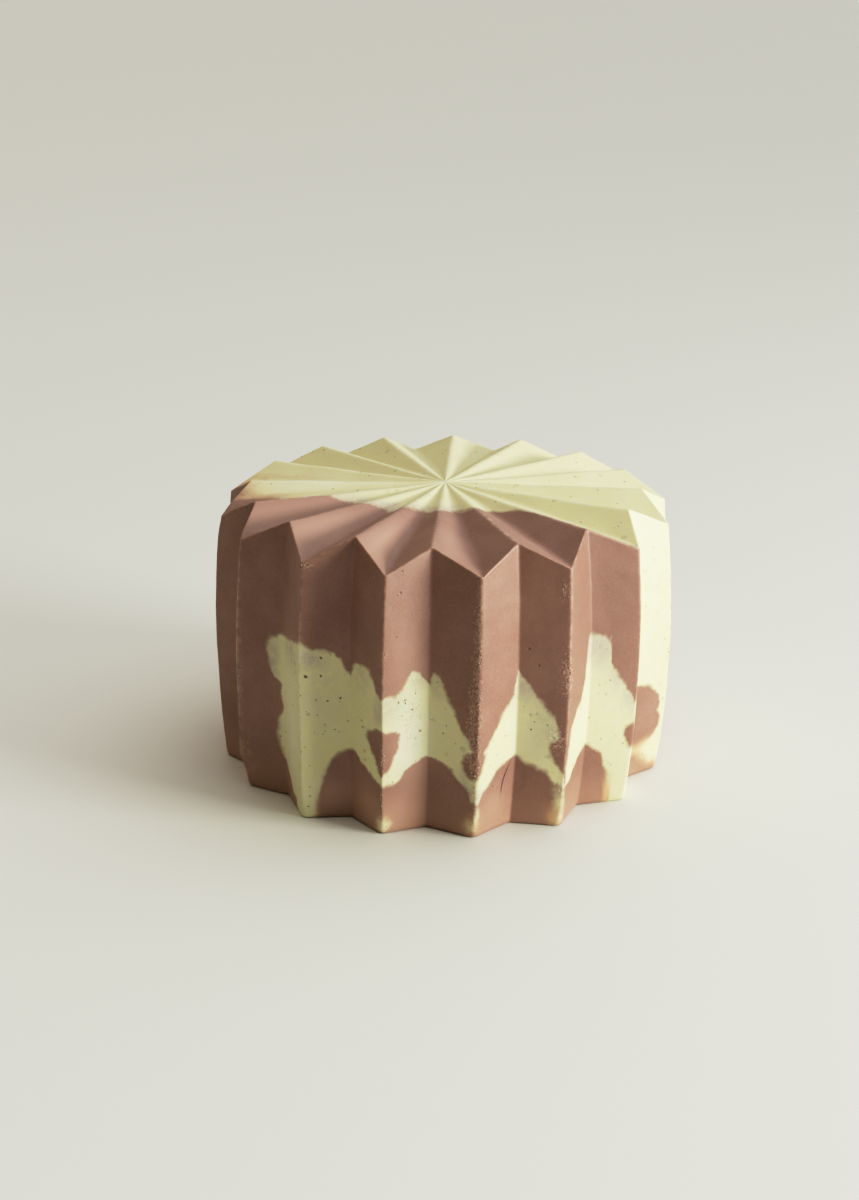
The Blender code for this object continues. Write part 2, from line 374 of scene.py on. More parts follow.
TOP_LINE = np.array((  # u, radius in mm: vanilla nearer the crown
    (-16.0, 90.0), (-10.6, 90.0), (-10.4, 66.5), (-9.9, 64.5), (-9.0, 61.5), (-8.5, 58.5),
    (-8.4, 51.0), (-8.1, 48.0), (-7.6, 46.5), (-7.05, 45.5), (-6.95, 36.5), (-6.1, 29.5),
    (-5.1, 32.5), (-4.87, 30.5), (-4.35, 27.2), (-3.5, 28.4), (-2.93, 27.2), (-2.41, 24.9),
    (-2.14, 24.2), (-1.23, 26.6), (-1.05, 27.6), (-0.44, 24.8), (-0.25, 23.0), (0.92, 25.6),
    (1.29, 25.4), (2.18, 25.9), (2.38, 28.7), (2.87, 33.1), (3.02, 44.0), (3.15, 58.0),
    (3.95, 65.0), (4.3, 90.0), (16.0, 90.0)))


def over_line(line, u, value):
    """Signed distance below a line on the unrolled wall: (line - value) / sqrt(1 + slope^2)."""
    step = 0.03
    before, here, after = (np.interp(u + way, line[:, 0], line[:, 1]) for way in (-step, 0.0, step))
    slope = (after - before) / (2.0 * step * FACE_WIDTH)
    return (here - value) / np.sqrt(1.0 + slope**2)


print("the marbling lines have", len(UPPER_LINE) + len(LOWER_LINE) + len(TOP_LINE), "points")

# %% [markdown]
# ## Islands and drips
# Some of the marbling can't be written as one height for each `u`: the left end of the band, which
# overhangs, islands of cocoa in the vanilla, and drips of vanilla at the foot. The overhang is a line
# of `u` against height, the islands are closed outlines on the unrolled wall, and the drips are
# ellipses. The distance to each of them joins the rest by a plain minimum or maximum.

# %% Islands and drips
LEFT_LINE = np.array((  # height in mm, u: vanilla to the right of it
    (-5.0, -4.22), (3.0, -4.42), (8.0, -4.75), (13.0, -5.02), (18.0, -5.14), (24.0, -5.15),
    (28.0, -5.03), (36.0, -5.03), (40.0, -5.24), (46.0, -5.33), (52.0, -5.30), (57.0, -5.12)))
COCOA_PATCHES = (  # corners on the unrolled wall, in mm from the front ridge and from the base
    ((-36.8, 31.6), (-30.0, 32.6), (-24.7, 31.5), (-24.5, 27.0), (-26.0, 23.0), (-28.4, 19.3),
     (-30.0, 18.0), (-32.0, 20.6), (-34.8, 25.0), (-36.9, 28.8)),
    ((-4.6, 25.0), (-4.9, 22.6), (-3.6, 19.6), (-1.4, 18.2), (0.4, 18.4), (1.5, 21.0), (3.3, 25.2),
     (1.5, 27.5), (-1.5, 27.5)),
    ((25.0, 26.0), (24.8, 23.8), (25.8, 21.2), (27.6, 19.4), (29.3, 17.6), (30.4, 15.4),
     (30.8, 20.0), (31.2, 27.0), (30.0, 34.0), (28.6, 30.0), (26.8, 26.8)),
    ((57.4, 23.8), (57.2, 20.8), (58.4, 18.2), (60.0, 17.0), (66.0, 12.5), (75.0, 9.6),
     (80.0, 9.0), (84.6, 11.0), (87.8, 14.0), (88.4, 17.4), (86.8, 19.6), (87.4, 23.0),
     (85.6, 26.8), (83.0, 28.6), (79.0, 30.4), (75.0, 30.8), (68.0, 30.6), (62.0, 29.0), (59.8, 26.0)),
)
TIPS = (  # vanilla that ran into the tips of the foot: u, height, half width, half height, depth, in mm
    (-1.99, 2.9, 2.8, 2.1, 1.4),
    (-0.10, 3.3, 1.5, 1.4, 0.8),
    (0.03, 5.8, 0.7, 2.2, 0.5),
    (1.94, 3.1, 1.6, 1.9, 0.7),
    (1.95, 7.2, 1.4, 4.0, 0.6),
)
TOP_SOFTNESS = np.array((  # u, and how wide the border is on top, in mm
    (-9.5, 3.8), (-7.0, 3.8), (-5.5, 2.4), (16.0, 2.2)))
LEFT_END = -8.0  # the overhang counts from this u on


def inside_distance(outline, x, y):
    """Distance to the nearest side of a closed outline, positive inside it (even-odd rule)."""
    inside = np.zeros(x.shape, dtype=bool)
    nearest = np.full(x.shape, np.inf)
    for (x0, y0), (x1, y1) in zip(outline, outline[1:] + outline[:1]):
        along = ((x - x0) * (x1 - x0) + (y - y0) * (y1 - y0)) / ((x1 - x0) ** 2 + (y1 - y0) ** 2)
        along = np.clip(along, 0.0, 1.0)
        away = np.hypot(x - x0 - along * (x1 - x0), y - y0 - along * (y1 - y0))
        nearest = np.minimum(nearest, away)
        if y0 != y1:
            inside ^= ((y0 > y) != (y1 > y)) & (x < x0 + (y - y0) * (x1 - x0) / (y1 - y0))
    return np.where(inside, nearest, -nearest)


def vanilla_depth(u, height, radius, on_top):
    """Distance in mm to the nearest cocoa, negative inside the cocoa."""
    side = np.minimum(over_line(UPPER_LINE, u, height), -over_line(LOWER_LINE, u, height))
    left = (u - np.interp(height, LEFT_LINE[:, 0], LEFT_LINE[:, 1])) * FACE_WIDTH
    side = np.where(u > LEFT_END, np.minimum(side, left), side)
    for outline in COCOA_PATCHES:
        side = np.minimum(side, -inside_distance(outline, u * FACE_WIDTH, height))
    for middle, centre, half_width, half_height, depth in TIPS:
        reach = np.hypot((u - middle) * FACE_WIDTH / half_width, (height - centre) / half_height)
        side = np.maximum(side, (1.0 - reach) * depth)
    softness = np.interp(u, TOP_SOFTNESS[:, 0], TOP_SOFTNESS[:, 1])
    return np.where(on_top, over_line(TOP_LINE, u, radius) / softness, side)


print(len(COCOA_PATCHES), "islands and", len(TIPS), "drips")

# %% Depth of the vanilla at each point
RAGGED_ACROSS = ((0.22, 5.0 * MM, 11), (0.08, 1.8 * MM, 12))  # shift in mm, length of a wave, seed
RAGGED_UP = ((0.25, 5.0 * MM, 13), (0.10, 1.8 * MM, 14))
DEEPEST = 6.0  # mm, past which the distance doesn't matter

grid_u = np.broadcast_to(columns, skin.shape[:2])
grid_height = skin[..., 2] / MM
grid_radius = length(skin[..., :2])[..., 0] / MM
on_top = np.broadcast_to(np.arange(skin.shape[0])[:, None] >= first_top_row, skin.shape[:2])
shift_u = sum(share * waves(skin, size, seed) for share, size, seed in RAGGED_ACROSS) / FACE_WIDTH
shift_up = sum(share * waves(skin, size, seed) for share, size, seed in RAGGED_UP)
vanilla = vanilla_depth(grid_u + shift_u, grid_height + shift_up, grid_radius + shift_up, on_top)
vanilla = np.clip(vanilla, -DEEPEST, DEEPEST)
print("vanilla covers", round(100 * float((vanilla > 0).mean())), "% of the points")

# %% [markdown]
# ## Where the surface differs
# Five more numbers are painted on the skin. The first marks vanilla so thin that the cocoa shows through
# it as a cool grey, and it also darkens a few vanilla faces that lie in shade, which is painted shade.
# The second marks places where the two mixed into a tan. The third is painted light and shade: above 0
# it makes the curd paler on lit faces and at the foot, below 0 deeper on faces in shade. The fourth
# marks bands where the mould tore the surface into grains, and the last marks the arrises, which dry
# first and look paler and which also carry a painted highlight. Each is a sum of soft ellipses on the
# unrolled wall, because those are short to write and easy to move, and the last adds every place that
# is close to an arris.

# %% Thin and mixed curd, and painted shade
THIN_AND_SHADE = (  # u, height, half width and half height in mm, strength
    (-1.86, 39.5, 4.6, 4.6, 0.6),
    (-1.15, 47.5, 3.4, 2.6, 0.8),
    (3.14, 51.5, 6.0, 6.5, 1.4),
    (3.60, 40.5, 2.6, 5.0, 0.7),
    (3.80, 34.0, 2.4, 4.0, 0.6),
    (3.98, 31.0, 2.2, 3.4, 0.7),
    (1.15, 45.0, 4.4, 6.5, 1.1),
    (1.70, 30.0, 1.6, 4.0, 0.5),
    (-0.80, 46.0, 3.0, 5.0, 0.6),
    (-0.28, 16.0, 2.4, 5.0, 0.7),
    (-2.62, 47.0, 4.0, 4.5, 0.5),
    (-2.10, 38.0, 2.4, 4.5, 0.6),
    (-5.24, 43.0, 2.6, 11.0, 1.0),
    (-5.20, 22.0, 2.0, 8.0, 0.9),
    (-4.55, 50.0, 5.0, 6.0, 0.8),
    (-3.78, 50.5, 4.0, 3.0, 0.8),
    (-0.02, 13.0, 2.6, 2.4, 1.1),
    (2.03, 16.0, 1.6, 5.0, 0.7),
    # painted shade: broad darkening of the vanilla on faces that lie in shade
    (-3.55, 38.0, 8.0, 16.0, 0.35),
    (-2.50, 34.0, 7.0, 14.0, 0.3),
    (-0.60, 30.0, 6.0, 12.0, 0.25),
    (1.40, 30.0, 7.0, 12.0, 0.3),
    (7.10, 24.0, 4.0, 4.5, 0.8),
    (9.10, 37.0, 4.5, 5.0, 0.9),
    (11.00, 44.0, 4.0, 4.5, 0.8),
    (13.10, 52.0, 4.5, 5.0, 0.9),
    (-14.80, 53.0, 4.0, 4.5, 0.8),
    (-13.00, 60.0, 4.5, 4.5, 0.8),
    (-11.30, 66.0, 3.0, 5.0, 0.6),
)
WARM = (  # the same five numbers
    (3.62, 3.0, 4.0, 4.5, 1.0),
    (1.86, 3.2, 3.0, 3.0, 0.8),
    (-0.04, 4.2, 3.0, 3.4, 0.5),
    (-1.96, 3.4, 3.2, 3.0, 0.4),
    (-1.45, 43.5, 3.4, 3.6, 0.25),
    (5.30, 9.0, 6.0, 5.0, 0.8),
    (6.20, 3.0, 8.0, 3.0, 0.7),
    (-3.70, 2.0, 2.0, 5.0, 0.4),
)
print(len(THIN_AND_SHADE), "thin places and", len(WARM), "mixed ones")

# %% Torn surface
CRUMB = (  # the same five numbers
    (-0.07, 52.0, 1.7, 34.0, 1.0),
    (-0.14, 36.0, 2.2, 11.0, 0.8),
    (-0.12, 24.0, 2.4, 6.0, 0.8),
    (-0.60, 66.0, 4.0, 6.0, 0.3),
    (1.86, 72.0, 1.5, 3.0, 0.9),
    (1.97, 47.0, 2.4, 7.5, 1.0),
    (-1.99, 53.0, 1.4, 7.0, 0.5),
    (-2.03, 24.0, 1.8, 6.0, 0.9),
    (-2.04, 11.0, 1.5, 4.0, 0.7),
    (-0.04, 7.5, 1.8, 4.0, 0.4),
    (1.82, 27.0, 2.6, 4.0, 0.9),
    (1.97, 12.0, 1.6, 5.0, 0.6),
    (-5.95, 12.0, 3.4, 5.0, 0.9),
    (-5.95, 36.0, 1.6, 16.0, 0.7),
    (-1.45, 41.0, 5.0, 7.0, 0.65),
    (-1.30, 30.0, 4.0, 6.0, 0.35),
    (6.00, 48.0, 1.4, 20.0, 0.5),
    (10.05, 40.0, 1.6, 16.0, 0.6),
    (12.00, 60.0, 1.4, 10.0, 0.4),
    (-14.00, 44.0, 1.6, 14.0, 0.6),
    (-3.90, 77.4, 3.5, 1.2, 0.9),
)
print(len(CRUMB), "torn places")

# %% Painted light and shade
PAINTED_LIGHT_AND_SHADE = (  # the same five numbers: painted light on lit faces and at the foot, with a strength below 0 for painted shade
    (-1.50, 52.0, 7.0, 16.0, 0.55),
    (-1.35, 26.0, 7.0, 13.0, 1.0),
    (-1.50, 6.0, 7.0, 7.0, 0.85),
    (-2.50, 7.0, 7.0, 6.0, 1.0),
    (-3.40, 7.0, 7.0, 6.0, 1.0),
    (-4.60, 25.0, 6.0, 26.0, 1.0),
    (0.50, 8.0, 6.0, 7.0, 0.6),
    (2.50, 60.0, 7.0, 26.0, -0.50),
    (3.50, 60.0, 7.0, 24.0, -0.45),
    (3.30, 9.0, 7.0, 8.0, -0.40),
    (1.50, 50.0, 7.0, 26.0, -0.45),
    (1.40, 26.0, 7.0, 12.0, -0.45),
)
PAINTED_LIGHT_ON_TOP = (  # painted light on the lit faces of the top: the same, with the radius for the height
    (-6.60, 52.0, 7.0, 20.0, 0.9),
    (-4.60, 52.0, 6.5, 18.0, 1.0),
    (-2.55, 52.0, 6.5, 18.0, 1.0),
    (-0.60, 52.0, 6.5, 18.0, 0.7),
    (1.50, 52.0, 6.5, 18.0, 0.3),
    (-9.50, 40.0, 14.0, 22.0, 1.0),
)
print(len(PAINTED_LIGHT_AND_SHADE), "shaded places on the wall and", len(PAINTED_LIGHT_ON_TOP), "on top")

# %% Wear and painted highlights
SMEARS_AND_HIGHLIGHTS = (  # dried curd that was drawn along a ridge, and a painted highlight along some ridges
    (-5.96, 42.0, 1.3, 26.0, 1.0),
    (-5.90, 10.0, 3.0, 7.0, 0.8),
    (-6.30, 40.0, 2.6, 9.0, 0.8),
    (-4.00, 56.0, 1.2, 10.0, 0.6),
    (-4.30, 17.0, 5.0, 13.0, 0.9),
    (2.00, 62.0, 0.9, 20.0, 0.35),
    (0.00, 70.0, 0.8, 12.0, 0.4),
)
RUBBED_AND_LIT_RIBS = (  # ribs on top rubbed paler, also a painted highlight along them; with the radius for the height
    (1.0, 50.0, 1.1, 26.0, 1.2),
    (3.0, 60.0, 0.9, 12.0, 0.6),
    (-1.0, 50.0, 0.8, 20.0, 0.6),
)
ARRIS_REACH = 0.5  # mm
print(len(SMEARS_AND_HIGHLIGHTS), "smears and", len(RUBBED_AND_LIT_RIBS), "rubbed ribs")


# %% Painting with soft ellipses
FRONT_BORDER = (-7.5, -6.0, 0.2, 0.8)  # u at which the thin border on top starts, is full, fades and ends
THIN_DEPTH, THIN_REACH = 0.7, 1.1  # depth of the vanilla where it is thin, and how far around
BACK_BORDER = (-8.5, -6.5)  # u over which the border on top goes from mixed to clean
MIXED_SHARE, MIXED_REACH = 0.4, 1.5


def patches(spots, u, height):
    """Sum of strength * exp(-(distance in half sizes)^2), at most 1."""
    total = np.zeros_like(height)
    for middle, centre, half_width, half_height, strength in spots:
        across = (u - middle) * FACE_WIDTH / half_width
        total += strength * np.exp(-(across**2) - ((height - centre) / half_height) ** 2)
    return np.minimum(total, 1.0)


def wall_and_top(on_wall, above):
    """One number for the whole skin: the first on the wall, the second on top."""
    return np.where(on_top, above, on_wall)


by_front = np.interp(grid_u, FRONT_BORDER, (0.0, 1.0, 1.0, 0.0))
thin_border = by_front * np.exp(-(((vanilla - THIN_DEPTH) / THIN_REACH) ** 2))
by_back = np.interp(grid_u, BACK_BORDER, (1.0, 0.0))
mixed_border = MIXED_SHARE * by_back * np.exp(-((vanilla / MIXED_REACH) ** 2))
# thin vanilla, and painted shade on vanilla faces that lie in shade
thin_and_shade = wall_and_top(patches(THIN_AND_SHADE, grid_u, grid_height), thin_border)
warm = wall_and_top(patches(WARM, grid_u, grid_height), mixed_border)
# painted light and shade: above 0 paler where light falls, below 0 deeper on faces in shade
pale = wall_and_top(patches(PAINTED_LIGHT_AND_SHADE, grid_u, grid_height), patches(PAINTED_LIGHT_ON_TOP, grid_u, grid_radius))
crumb = wall_and_top(patches(CRUMB, grid_u, grid_height), 0.0)
print("thin up to", round(float(thin_and_shade.max()), 2), "and pale from", round(float(pale.min()), 2))

# %% Dry arrises and painted highlights
RIM_RADIUS = 68.0  # mm, where the faces of the top are as wide as the wall's
FAR_FROM_RIM = 9.0  # mm, farther than any wear reaches
NOTICED = 0.3  # strength above which a number shows

to_ridge = np.abs(grid_u - 2.0 * np.round(0.5 * grid_u)) * FACE_WIDTH
to_rib = np.abs(grid_u - 1.0 - 2.0 * np.round(0.5 * (grid_u - 1.0))) * FACE_WIDTH
ring_step = np.abs(np.arange(skin.shape[0]) - first_top_row)[:, None]
ring_gap = 2.0 * RIM_EDGE / MM / (RIM_ROWS - 1.0)
to_rim = np.where(ring_step <= RIM_ROWS, ring_step * ring_gap, FAR_FROM_RIM)
to_arris = np.minimum(wall_and_top(to_ridge, to_rib * grid_radius / RIM_RADIUS), to_rim)
# paler curd along the arrises: drier curd and a painted highlight
wear_and_highlight = np.exp(-((to_arris / ARRIS_REACH) ** 2))
wear_and_highlight += wall_and_top(patches(SMEARS_AND_HIGHLIGHTS, grid_u, grid_height), patches(RUBBED_AND_LIT_RIBS, grid_u, grid_radius))
for name, numbers in (("crumbly", crumb), ("worn_and_lit", wear_and_highlight)):
    print(name, "share", round(float((numbers > NOTICED).mean()), 3))

# %% [markdown]
# ## One closed mesh
# The grid becomes a mesh of quads, closed by a fan of triangles under the base and another over the
# crown, because a skin with holes would neither print nor weigh anything. The numbers are stored at the
# same points as attributes, which a material can read and which move with the mesh. The place on the
# unrolled wall goes with them, so that marks can be set by millimetres along the wall.

# %% From rings to a mesh
def closed_grid(name, grid):
    """A mesh from rings of points: quads between rings, a fan at the base and one at the crown."""
    ring_count, ring_size = grid.shape[:2]
    corner = np.arange(ring_size)
    following = np.roll(corner, -1)
    starts = (np.arange(ring_count - 1) * ring_size)[:, None]
    quads = np.stack((starts + corner, starts + following, starts + ring_size + following,
                      starts + ring_size + corner), axis=-1).reshape(-1, 4)
    base_middle = ring_count * ring_size
    crown = base_middle + 1
    last = (ring_count - 1) * ring_size
    base_fan = np.stack((np.full(ring_size, base_middle), following, corner), axis=-1)
    crown_fan = np.stack((np.full(ring_size, crown), last + corner, last + following), axis=-1)
    middles = np.array((grid[0].mean(axis=0), grid[-1].mean(axis=0)))
    points = np.concatenate((grid.reshape(-1, 3), middles))
    faces = quads.tolist() + base_fan.tolist() + crown_fan.tolist()
    mesh = bpy.data.meshes.new(name)
    mesh.from_pydata(points.tolist(), [], faces)
    mesh.validate()
    mesh.shade_smooth()
    thing = bpy.data.objects.new(name, mesh)
    bpy.context.scene.collection.objects.link(thing)
    return thing


paskha = closed_grid("paskha_skin", skin)
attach(paskha, "root")
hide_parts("paskha")
print(len(paskha.data.polygons), "faces in the skin")


# %% Numbers stored on the mesh
def paint(thing, name, grid):
    """Store a number or a vector at each point; the two middles take the mean of the ring beside them."""
    middles = np.stack((grid[0].mean(axis=0), grid[-1].mean(axis=0)))
    size = grid.shape[2:]
    values = np.concatenate((grid.reshape((-1,) + size), middles.reshape((2,) + size))).astype(np.float32)
    layer = thing.data.attributes.new(name, "FLOAT_VECTOR" if size else "FLOAT", "POINT")
    layer.data.foreach_set("vector" if size else "value", values.ravel())


PAINTED = {"vanilla": vanilla, "thin_and_shade": thin_and_shade, "warm": warm, "pale": pale, "crumb": crumb, "wear_and_highlight": wear_and_highlight}
for name, numbers in PAINTED.items():
    paint(paskha, name, numbers)
unrolled = np.stack((grid_u * FACE_WIDTH, grid_height, np.zeros_like(grid_height)), axis=-1)
paint(paskha, "unrolled", unrolled)
print("painted:", ", ".join(PAINTED), "and unrolled")

# %% [markdown]
# ## Working with nodes
# A material is a tree of nodes, and built by hand each node takes four or five lines. A few small
# functions bring that down to one line each, so that what is left to read is the recipe: add a node,
# wire two sockets, mix two colours, do one sum, and open a node group with named sockets.

# %% Adding and wiring
def node(tree, kind, at, settings=None, **values):
    """Add a node at a place in the editor, with its settings and the values of named sockets."""
    made = tree.nodes.new(kind)
    made.location = at
    for name, value in (settings or {}).items():
        setattr(made, name, value)
    for name, value in values.items():
        made.inputs[name.replace("_", " ")].default_value = value
    return made


def wire(tree, source, target):
    """Join an output socket to an input socket."""
    tree.links.new(source, target)


def give(tree, socket, value):
    """Wire a socket to an input, or set the input to a plain value."""
    if isinstance(value, bpy.types.NodeSocket):
        wire(tree, value, socket)
    else:
        socket.default_value = value


# %% Sums, mixes and masks
def maths(tree, at, operation, *terms):
    """One arithmetic node; each term is a socket or a number."""
    made = node(tree, "ShaderNodeMath", at, {"operation": operation})
    for socket, value in zip(made.inputs, terms):
        give(tree, socket, value)
    return made.outputs["Value"]


def mixed(tree, at, factor, first, second):
    """Colour mix: first * (1 - factor) + second * factor; each is a socket or a colour."""
    mix = node(tree, "ShaderNodeMix", at, {"data_type": "RGBA"})
    for number, value in ((0, factor), (6, first), (7, second)):
        give(tree, mix.inputs[number], value)
    return mix.outputs[2]


def spread(tree, at, value, low, high):
    """Stretch low..high to 0..1, clamped and smooth."""
    made = node(tree, "ShaderNodeMapRange", at, {"interpolation_type": "SMOOTHSTEP"},
                From_Min=low, From_Max=high)
    wire(tree, value, made.inputs["Value"])
    return made.outputs["Result"]


def noise_at(tree, place, at, scale, detail=3.0):
    """Socket of a noise from 0 to 1; scale is in waves per metre."""
    noise = node(tree, "ShaderNodeTexNoise", at, Scale=scale, Detail=detail)
    wire(tree, place, noise.inputs["Vector"])
    return noise.outputs["Fac"]


# %% Groups
def new_group(name, inputs, outputs):
    """A node group with float inputs, except that a socket called Place is a vector."""
    tree = bpy.data.node_groups.new(name, "ShaderNodeTree")
    for names, side in ((inputs, "INPUT"), (outputs, "OUTPUT")):
        for label in names:
            kind = "NodeSocketVector" if label == "Place" else "NodeSocketFloat"
            tree.interface.new_socket(label, in_out=side, socket_type=kind)
    return tree, node(tree, "NodeGroupInput", (-1000, 0)), node(tree, "NodeGroupOutput", (400, 0))


def grouped(tree, group, at, place, **values):
    """Place a node group, wire its Place and set or wire its other inputs."""
    made = node(tree, "ShaderNodeGroup", at, {"node_tree": group})
    wire(tree, place, made.inputs["Place"])
    for name, value in values.items():
        give(tree, made.inputs[name], value)
    return made.outputs["Mask"]


# %% [markdown]
# ## Ragged edge
# Where cocoa meets vanilla, the border is crisp in one place and smeared in the next, and grainy all
# along. The mesh knows only a smooth distance to the border. This group shifts that distance by a fine
# noise and then turns it into a mask, so the raggedness is far finer than the mesh could hold.

# %% Ragged edge
EDGE_GRAIN = 700.0  # waves per metre
EDGE_SHIFT = 1.2  # mm from the deepest bay to the farthest tip


def ragged_group():
    """Mask of a distance in mm: a smooth step about 0, shifted by fine noise, with a given softness."""
    tree, given, result = new_group("ragged edge", ("Place", "Distance", "Softness"), ("Mask",))
    noise = node(tree, "ShaderNodeTexNoise", (-800, -200), Scale=EDGE_GRAIN, Detail=4.0, Roughness=0.6)
    wire(tree, given.outputs["Place"], noise.inputs["Vector"])
    shift = maths(tree, (-600, -200), "MULTIPLY_ADD", noise.outputs["Fac"], EDGE_SHIFT, -0.5 * EDGE_SHIFT)
    moved = maths(tree, (-400, 0), "ADD", given.outputs["Distance"], shift)
    scaled = maths(tree, (-200, 0), "DIVIDE", moved, given.outputs["Softness"])
    wire(tree, spread(tree, (0, 0), scaled, -1.0, 1.0), result.inputs["Mask"])
    return tree


ragged = ragged_group()
print("ragged edge:", len(ragged.nodes), "nodes")

# %% [markdown]
# ## Specks
# Ground vanilla, small pits and dried flecks are all rare dots of uneven size. A Voronoi pattern cuts
# space into cells and gives each a random colour. One channel of that colour decides whether the cell
# has a dot, another how large it is, so thousands of dots need no geometry.

# %% Specks
SPECK_EDGE = 0.12  # softness, as a share of a cell


def speck_group():
    """Mask of rare dots: near the middle of a Voronoi cell, in the share of cells that is kept."""
    tree, given, result = new_group("specks", ("Place", "Size", "Kept", "Radius"), ("Mask",))
    cells = node(tree, "ShaderNodeTexVoronoi", (-800, 0), Randomness=1.0)
    wire(tree, given.outputs["Place"], cells.inputs["Vector"])
    wire(tree, given.outputs["Size"], cells.inputs["Scale"])
    parts = node(tree, "ShaderNodeSeparateColor", (-600, -200))
    wire(tree, cells.outputs["Color"], parts.inputs["Color"])
    kept = maths(tree, (-400, -200), "LESS_THAN", parts.outputs["Red"], given.outputs["Kept"])
    radius = maths(tree, (-400, -400), "MULTIPLY", parts.outputs["Green"], given.outputs["Radius"])
    inside = maths(tree, (-200, 0), "SUBTRACT", radius, cells.outputs["Distance"])
    soft = node(tree, "ShaderNodeMapRange", (0, 0), From_Min=0.0, From_Max=SPECK_EDGE)
    wire(tree, inside, soft.inputs["Value"])
    wire(tree, maths(tree, (200, 0), "MULTIPLY", soft.outputs["Result"], kept), result.inputs["Mask"])
    return tree


specks = speck_group()
print("specks:", len(specks.nodes), "nodes")

# %% [markdown]
# ## Slit and pits
# A torn slit curves up from the foot of the front pleat, and a few pits are large enough to be known
# one by one. Both are written as distances on the unrolled wall, in millimetres, because there a curve
# is a parabola and a pit is a circle.

# %% Slit
SLIT_FOOT, SLIT_BEND = (10.3, 12.0), 0.045  # mm on the unrolled wall, and how fast it curves away
SLIT_HALF_LENGTH, SLIT_HALF_WIDTH = 5.2, 0.32  # mm
SLIT_MIDDLE = 15.6  # height in mm
SLIT_EDGE = (-0.05, 0.16)  # mm outside and inside, between which the mask grows to 1


def slit_group():
    """Mask of a torn line on the unrolled wall: x = foot + bend * (height - foot height)^2."""
    tree, given, result = new_group("slit", ("Place",), ("Mask",))
    parts = node(tree, "ShaderNodeSeparateXYZ", (-800, 0))
    wire(tree, given.outputs["Place"], parts.inputs["Vector"])
    rise = maths(tree, (-600, -200), "SUBTRACT", parts.outputs["Y"], SLIT_FOOT[1])
    square = maths(tree, (-500, -300), "MULTIPLY", rise, rise)
    bend = maths(tree, (-400, -200), "MULTIPLY", square, SLIT_BEND)
    away = maths(tree, (-400, 0), "SUBTRACT", parts.outputs["X"], SLIT_FOOT[0])
    away = maths(tree, (-200, 0), "ABSOLUTE", maths(tree, (-300, 0), "SUBTRACT", away, bend))
    from_middle = maths(tree, (-400, -500), "SUBTRACT", parts.outputs["Y"], SLIT_MIDDLE)
    from_middle = maths(tree, (-300, -500), "ABSOLUTE", from_middle)
    share = maths(tree, (-200, -500), "DIVIDE", from_middle, SLIT_HALF_LENGTH)
    taper = maths(tree, (0, -500), "SUBTRACT", 1.0, maths(tree, (-100, -500), "POWER", share, 2.0))
    half_width = maths(tree, (0, -200), "MULTIPLY", taper, SLIT_HALF_WIDTH)
    soft = node(tree, "ShaderNodeMapRange", (200, 0), From_Min=SLIT_EDGE[0], From_Max=SLIT_EDGE[1])
    wire(tree, maths(tree, (100, 0), "SUBTRACT", half_width, away), soft.inputs["Value"])
    wire(tree, soft.outputs["Result"], result.inputs["Mask"])
    return tree


slit = slit_group()
print("slit:", len(slit.nodes), "nodes")

# %% Pits
PITS = (  # place on the unrolled wall and radius, in mm
    (-24.8, 73.0, 0.50), (-25.8, 72.3, 0.32), (-25.8, 60.5, 0.34), (-24.5, 79.0, 0.40),
    (-60.6, 77.4, 1.00), (-58.4, 77.8, 0.40), (18.0, 54.6, 0.55), (20.9, 49.8, 0.50), (6.5, 14.6, 0.40),
)
PIT_FLOOR = 0.4  # share of the radius within which a pit has its full depth


def pit_group():
    """Mask of the named pits: the largest of (radius - distance), as a share of the radius."""
    tree, given, result = new_group("pits", ("Place",), ("Mask",))
    deepest = 0.0
    for number, (across, up, radius) in enumerate(PITS):
        level = -160 * number
        away = node(tree, "ShaderNodeVectorMath", (-700, level), {"operation": "DISTANCE"})
        wire(tree, given.outputs["Place"], away.inputs[0])
        away.inputs[1].default_value = (across, up, 0.0)
        inside = node(tree, "ShaderNodeMapRange", (-500, level),
                      From_Min=radius, From_Max=PIT_FLOOR * radius)
        wire(tree, away.outputs["Value"], inside.inputs["Value"])
        deepest = maths(tree, (-300, level), "MAXIMUM", inside.outputs["Result"], deepest)
    wire(tree, deepest, result.inputs["Mask"])
    return tree


pits_of_wall = pit_group()
print("pits:", len(PITS))

# %% [markdown]
# ## The curd
# Both curds are matt with a faint fatty sheen, and light goes a little way in. One material holds them
# both, because they are one mass that ran together, and a seam between two materials would be sharp. It
# is built in layers, as a painter would: the two grounds with painted light and shade on them, the border
# between them, the tan where they mixed, then seeds, pits and the slit, and last the dry curd on the
# arrises, which also paints a highlight there.

# %% Colours of the curd
COCOA = (0.360, 0.201, 0.159, 1.0)
COCOA_DARK = (0.298, 0.156, 0.116, 1.0)
# cocoa under painted light and under painted shade
COCOA_PAINTED_LIGHT = (0.485, 0.293, 0.235, 1.0)
COCOA_PAINTED_SHADE = (0.28, 0.150, 0.115, 1.0)
# cocoa at the foot: a paler mix and painted light bounced up from the floor
COCOA_FOOT_BOUNCE = (0.50, 0.305, 0.225, 1.0)
VANILLA = (0.77, 0.718, 0.44, 1.0)
VANILLA_PALE = (0.78, 0.725, 0.48, 1.0)
# vanilla under painted light and under painted shade
VANILLA_PAINTED_LIGHT = (0.85, 0.81, 0.62, 1.0)
VANILLA_PAINTED_SHADE = (0.64, 0.60, 0.42, 1.0)
# thin vanilla over cocoa, also used as painted shade on vanilla faces in shade
THIN_AND_SHADED_VANILLA = (0.56, 0.48, 0.385, 1.0)
TAN = (0.70, 0.45, 0.26, 1.0)
SPECK = (0.13, 0.08, 0.05, 1.0)
TORN = (0.13, 0.045, 0.03, 1.0)
